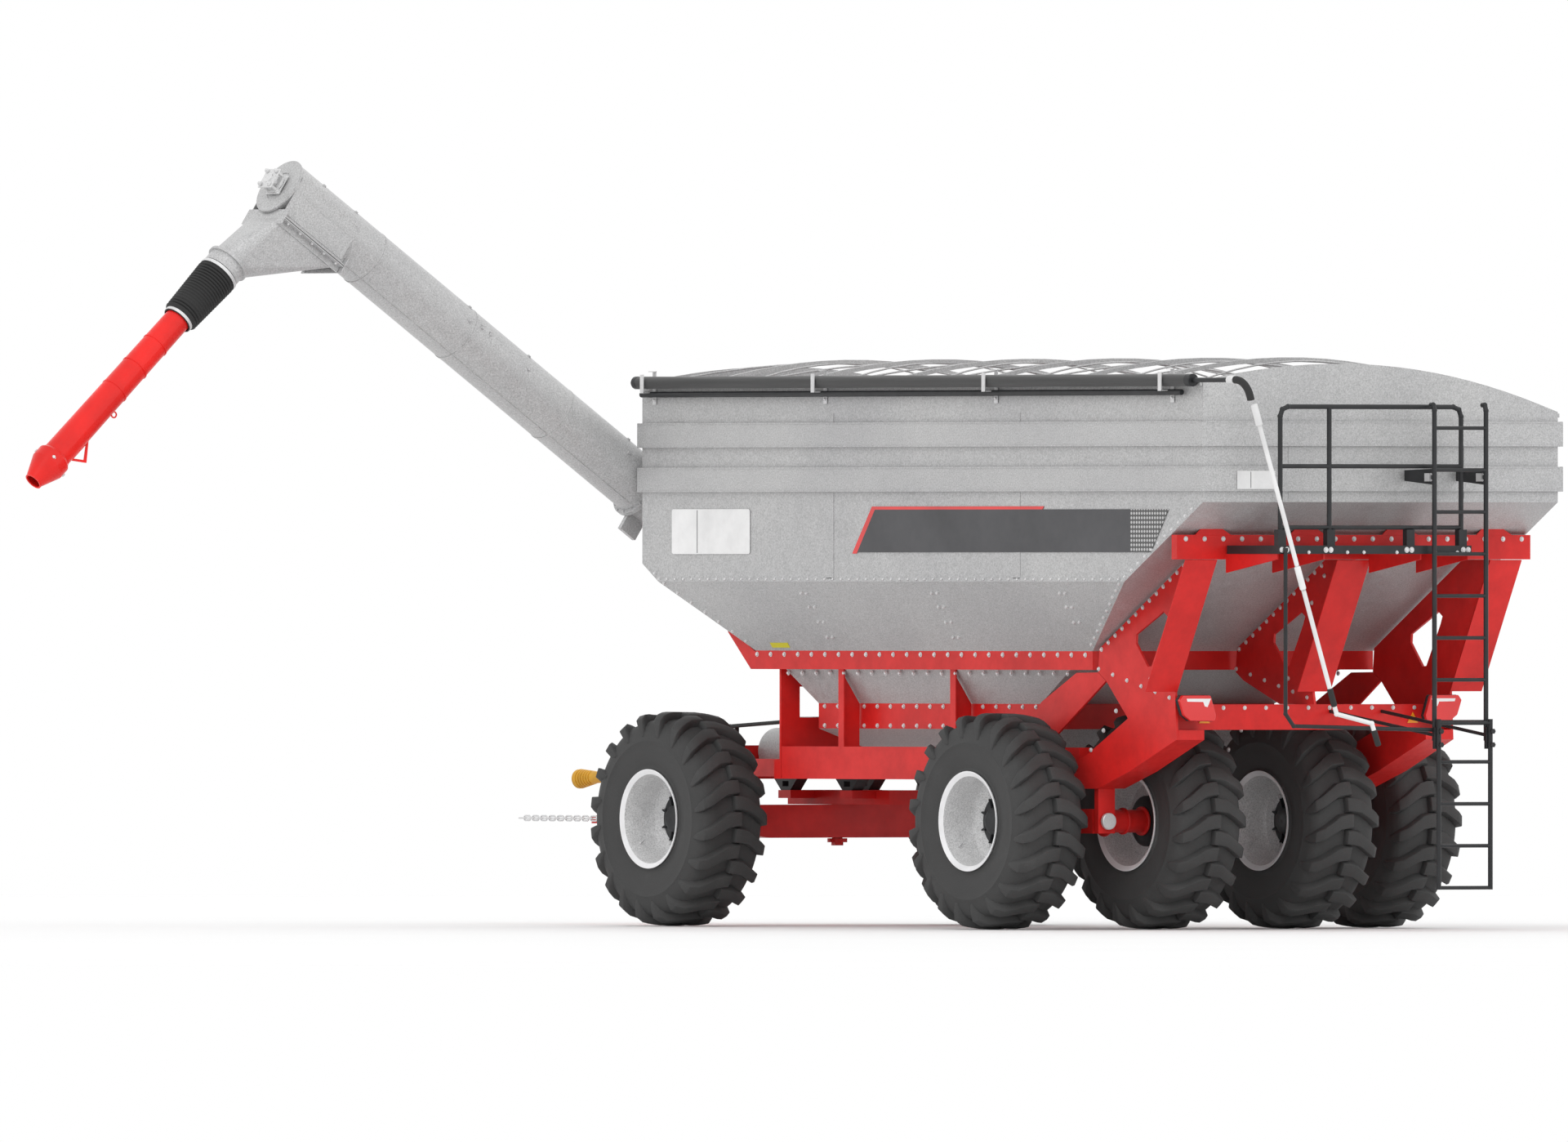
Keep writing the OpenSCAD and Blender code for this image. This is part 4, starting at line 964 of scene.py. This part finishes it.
bm = bmesh.new()
s0 = BOOT + BELLOWS - SPOUT_IN
for z, r in ((s0 + 0.30, 0.103), (s0 + 0.55, 0.105), (s0 + 0.80, 0.106), (s0 + 1.52, 0.112)):
    ring_on(bm, z, z + 0.010, r - 0.003, r + 0.0035, SPOUT)
ring_on(bm, s0 + 1.790, s0 + 1.802, 0.058, 0.070, SPOUT, 48)
q = SPOUT @ Vector((0, 0, s0 + 0.93))
lowest = (down.cross(Vector((1, 0, 0)))).normalized()
lowest = lowest if lowest.z < 0 else -lowest
c = q + lowest * 0.128
RING_STEPS = 20
ring_path = [c + (lowest * math.cos(t) + down * math.sin(t)) * 0.022
             for t in (2 * math.pi * i / RING_STEPS for i in range(RING_STEPS + 1))]
add_tube(bm, ring_path, 0.006, 10)
build("spout_bands", bm, SPOUT_RED, "spout_tube", 35)
bm = bmesh.new()
for turn in (0.4, 2.0, 3.6, 5.2):
    m = SPOUT @ Matrix.Rotation(turn, 4, "Z")
    add_bolt(bm, m @ Vector((0.131, 0, s0 + 1.60)), m.to_3x3() @ Vector((1, 0, 0)), 0.013, turn)
build("spout_bolts", bm, BOLT, "spout_tube", 30)

# ---------------------------------------------------------------- chain, power take-off

chain_low, chain_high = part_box("safety_chain")
bm = bmesh.new()
y, z = (chain_low.y + chain_high.y) / 2, (chain_low.z + chain_high.z) / 2
count = 21
step = (chain_high.x - chain_low.x - 0.05) / (count - 1)
for i in range(count):
    c = Vector((chain_low.x + 0.025 + step * i, y, z))
    half = step * 0.42
    path = []
    for k in range(25):
        t = 2 * math.pi * k / 24
        u = half * (1 if math.cos(t) > 0 else -1) + 0.018 * math.cos(t)
        v = 0.018 * math.sin(t)
        path.append(c + Vector((u, v if i % 2 == 0 else 0, 0 if i % 2 == 0 else v)))
    add_tube(bm, path, 0.0065, 10)
build("chain_links", bm, BOLT, "front_axle", 60, 0, ["safety_chain"])

p0, p1 = at(-0.716, 0, 1.224), at(-3.150, 0, 1.085)
PTO = axis_matrix(p0, p1 - p0)
reach = (p1 - p0).length
profile = [(0.022, 0.0), (0.058, 0.0), (0.068, 0.010)]
for i in range(6):
    z = 0.016 + i * 0.024
    r = 0.068 - i * 0.004
    profile += [(r, z), (r + 0.001, z + 0.010), (r - 0.005, z + 0.014), (r - 0.005, z + 0.022)]
profile += [(0.038, 0.175), (0.038, reach * 0.48), (0.045, reach * 0.485), (0.045, reach - 0.235)]
for i in range(7):
    z = reach - 0.218 + i * 0.028
    r = 0.048 + i * 0.0038
    profile += [(r, z), (r + 0.003, z + 0.012), (r - 0.003, z + 0.016), (r - 0.003, z + 0.026)]
profile += [(0.073, reach - 0.010), (0.066, reach), (0.022, reach)]
bm = bmesh.new()
add_lathe(bm, profile, PTO, 48, True)
build("pto_guard", bm, GUARD, "pto", 32, 0, ["pto_shaft"])
bm = bmesh.new()
add_rod(bm, PTO @ Vector((0, 0, reach - 0.06)), PTO @ Vector((0, 0, reach)), 0.021, 24, 0, 0.002)
build("pto_core", bm, BOLT, "pto", 35)

# ---------------------------------------------------------------- platform, ladder

bm = bmesh.new()
deck_low, deck_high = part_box("platform")
for y in (deck_low.y + 0.03, deck_low.y + 0.075, -0.035, 0.010, 0.70, 0.745,
          deck_high.y - 0.07, deck_high.y - 0.025):
    add_bolt(bm, (deck_low.x, y, deck_low.z + 0.030), BACK, 0.016, y)
for y in (0.1, 0.4, 0.55, 0.9, -0.25, -0.45):
    add_bolt(bm, (deck_low.x, y, deck_low.z + 0.012), BACK, 0.010, y)
build("platform_bolts", bm, BOLT, "chassis", 30)

step_low, step_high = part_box("ladder_step")
bm = bmesh.new()
stile_x = (step_low.x + step_high.x) / 2
bracket_x = stile_x + 0.09
for y in (step_low.y + 0.018, step_high.y - 0.018):
    for z in (0.69, 0.59):
        add_rod(bm, (stile_x + 0.060, y, z), (stile_x - 0.032, y, z), 0.013, 12)
        add_rod(bm, (stile_x - 0.026, y, z), (stile_x - 0.040, y, z), 0.021, 6)
    add_box(bm, (stile_x + 0.012, y - 0.027, 0.56), (stile_x + 0.040, y + 0.027, 0.72))
build("ladder_clamps", bm, BLACK, "chassis", 30, 0.002)
bm = bmesh.new()
for y in (step_low.y + 0.018, step_high.y - 0.018):
    add_box(bm, (bracket_x, y - 0.020, GROUND + 3.318), (bracket_x + 0.065, y + 0.020, GROUND + 3.378))
    for z in (3.325, 3.370):
        add_bolt(bm, (bracket_x, y, GROUND + z), BACK, 0.009, z)
build("ladder_bracket_bolts", bm, BOLT, "chassis", 30)

# clamps and grips on the crank
crank_top = at(7.925, 1.660, 3.880)
crank_low = at(7.900, 0.893, 1.600)
lean = (crank_low - crank_top).normalized()
bm = bmesh.new()
middle = crank_top.lerp(crank_low, 0.56)
add_rod(bm, middle - lean * 0.09, middle + lean * 0.09, 0.024, 24, 0, 0.006)
add_rod(bm, crank_top, crank_top + lean * 0.16, 0.026, 24, 0, 0.004)
build("crank_sleeves", bm, WHITE, "crank_rod", 35)
bm = bmesh.new()
end = crank_low + Vector((0, -0.380, -0.230))
knee = crank_low + Vector((0, -0.320, -0.070))
add_rod(bm, knee.lerp(end, 0.30), end + (end - knee).normalized() * 0.004, 0.0225, 20, 0, 0.006)
add_rod(bm, crank_low - lean * 0.20, crank_low - lean * 0.06, 0.0225, 20, 0, 0.006)
build("crank_grips", bm, RUBBER, "crank_rod", 35)
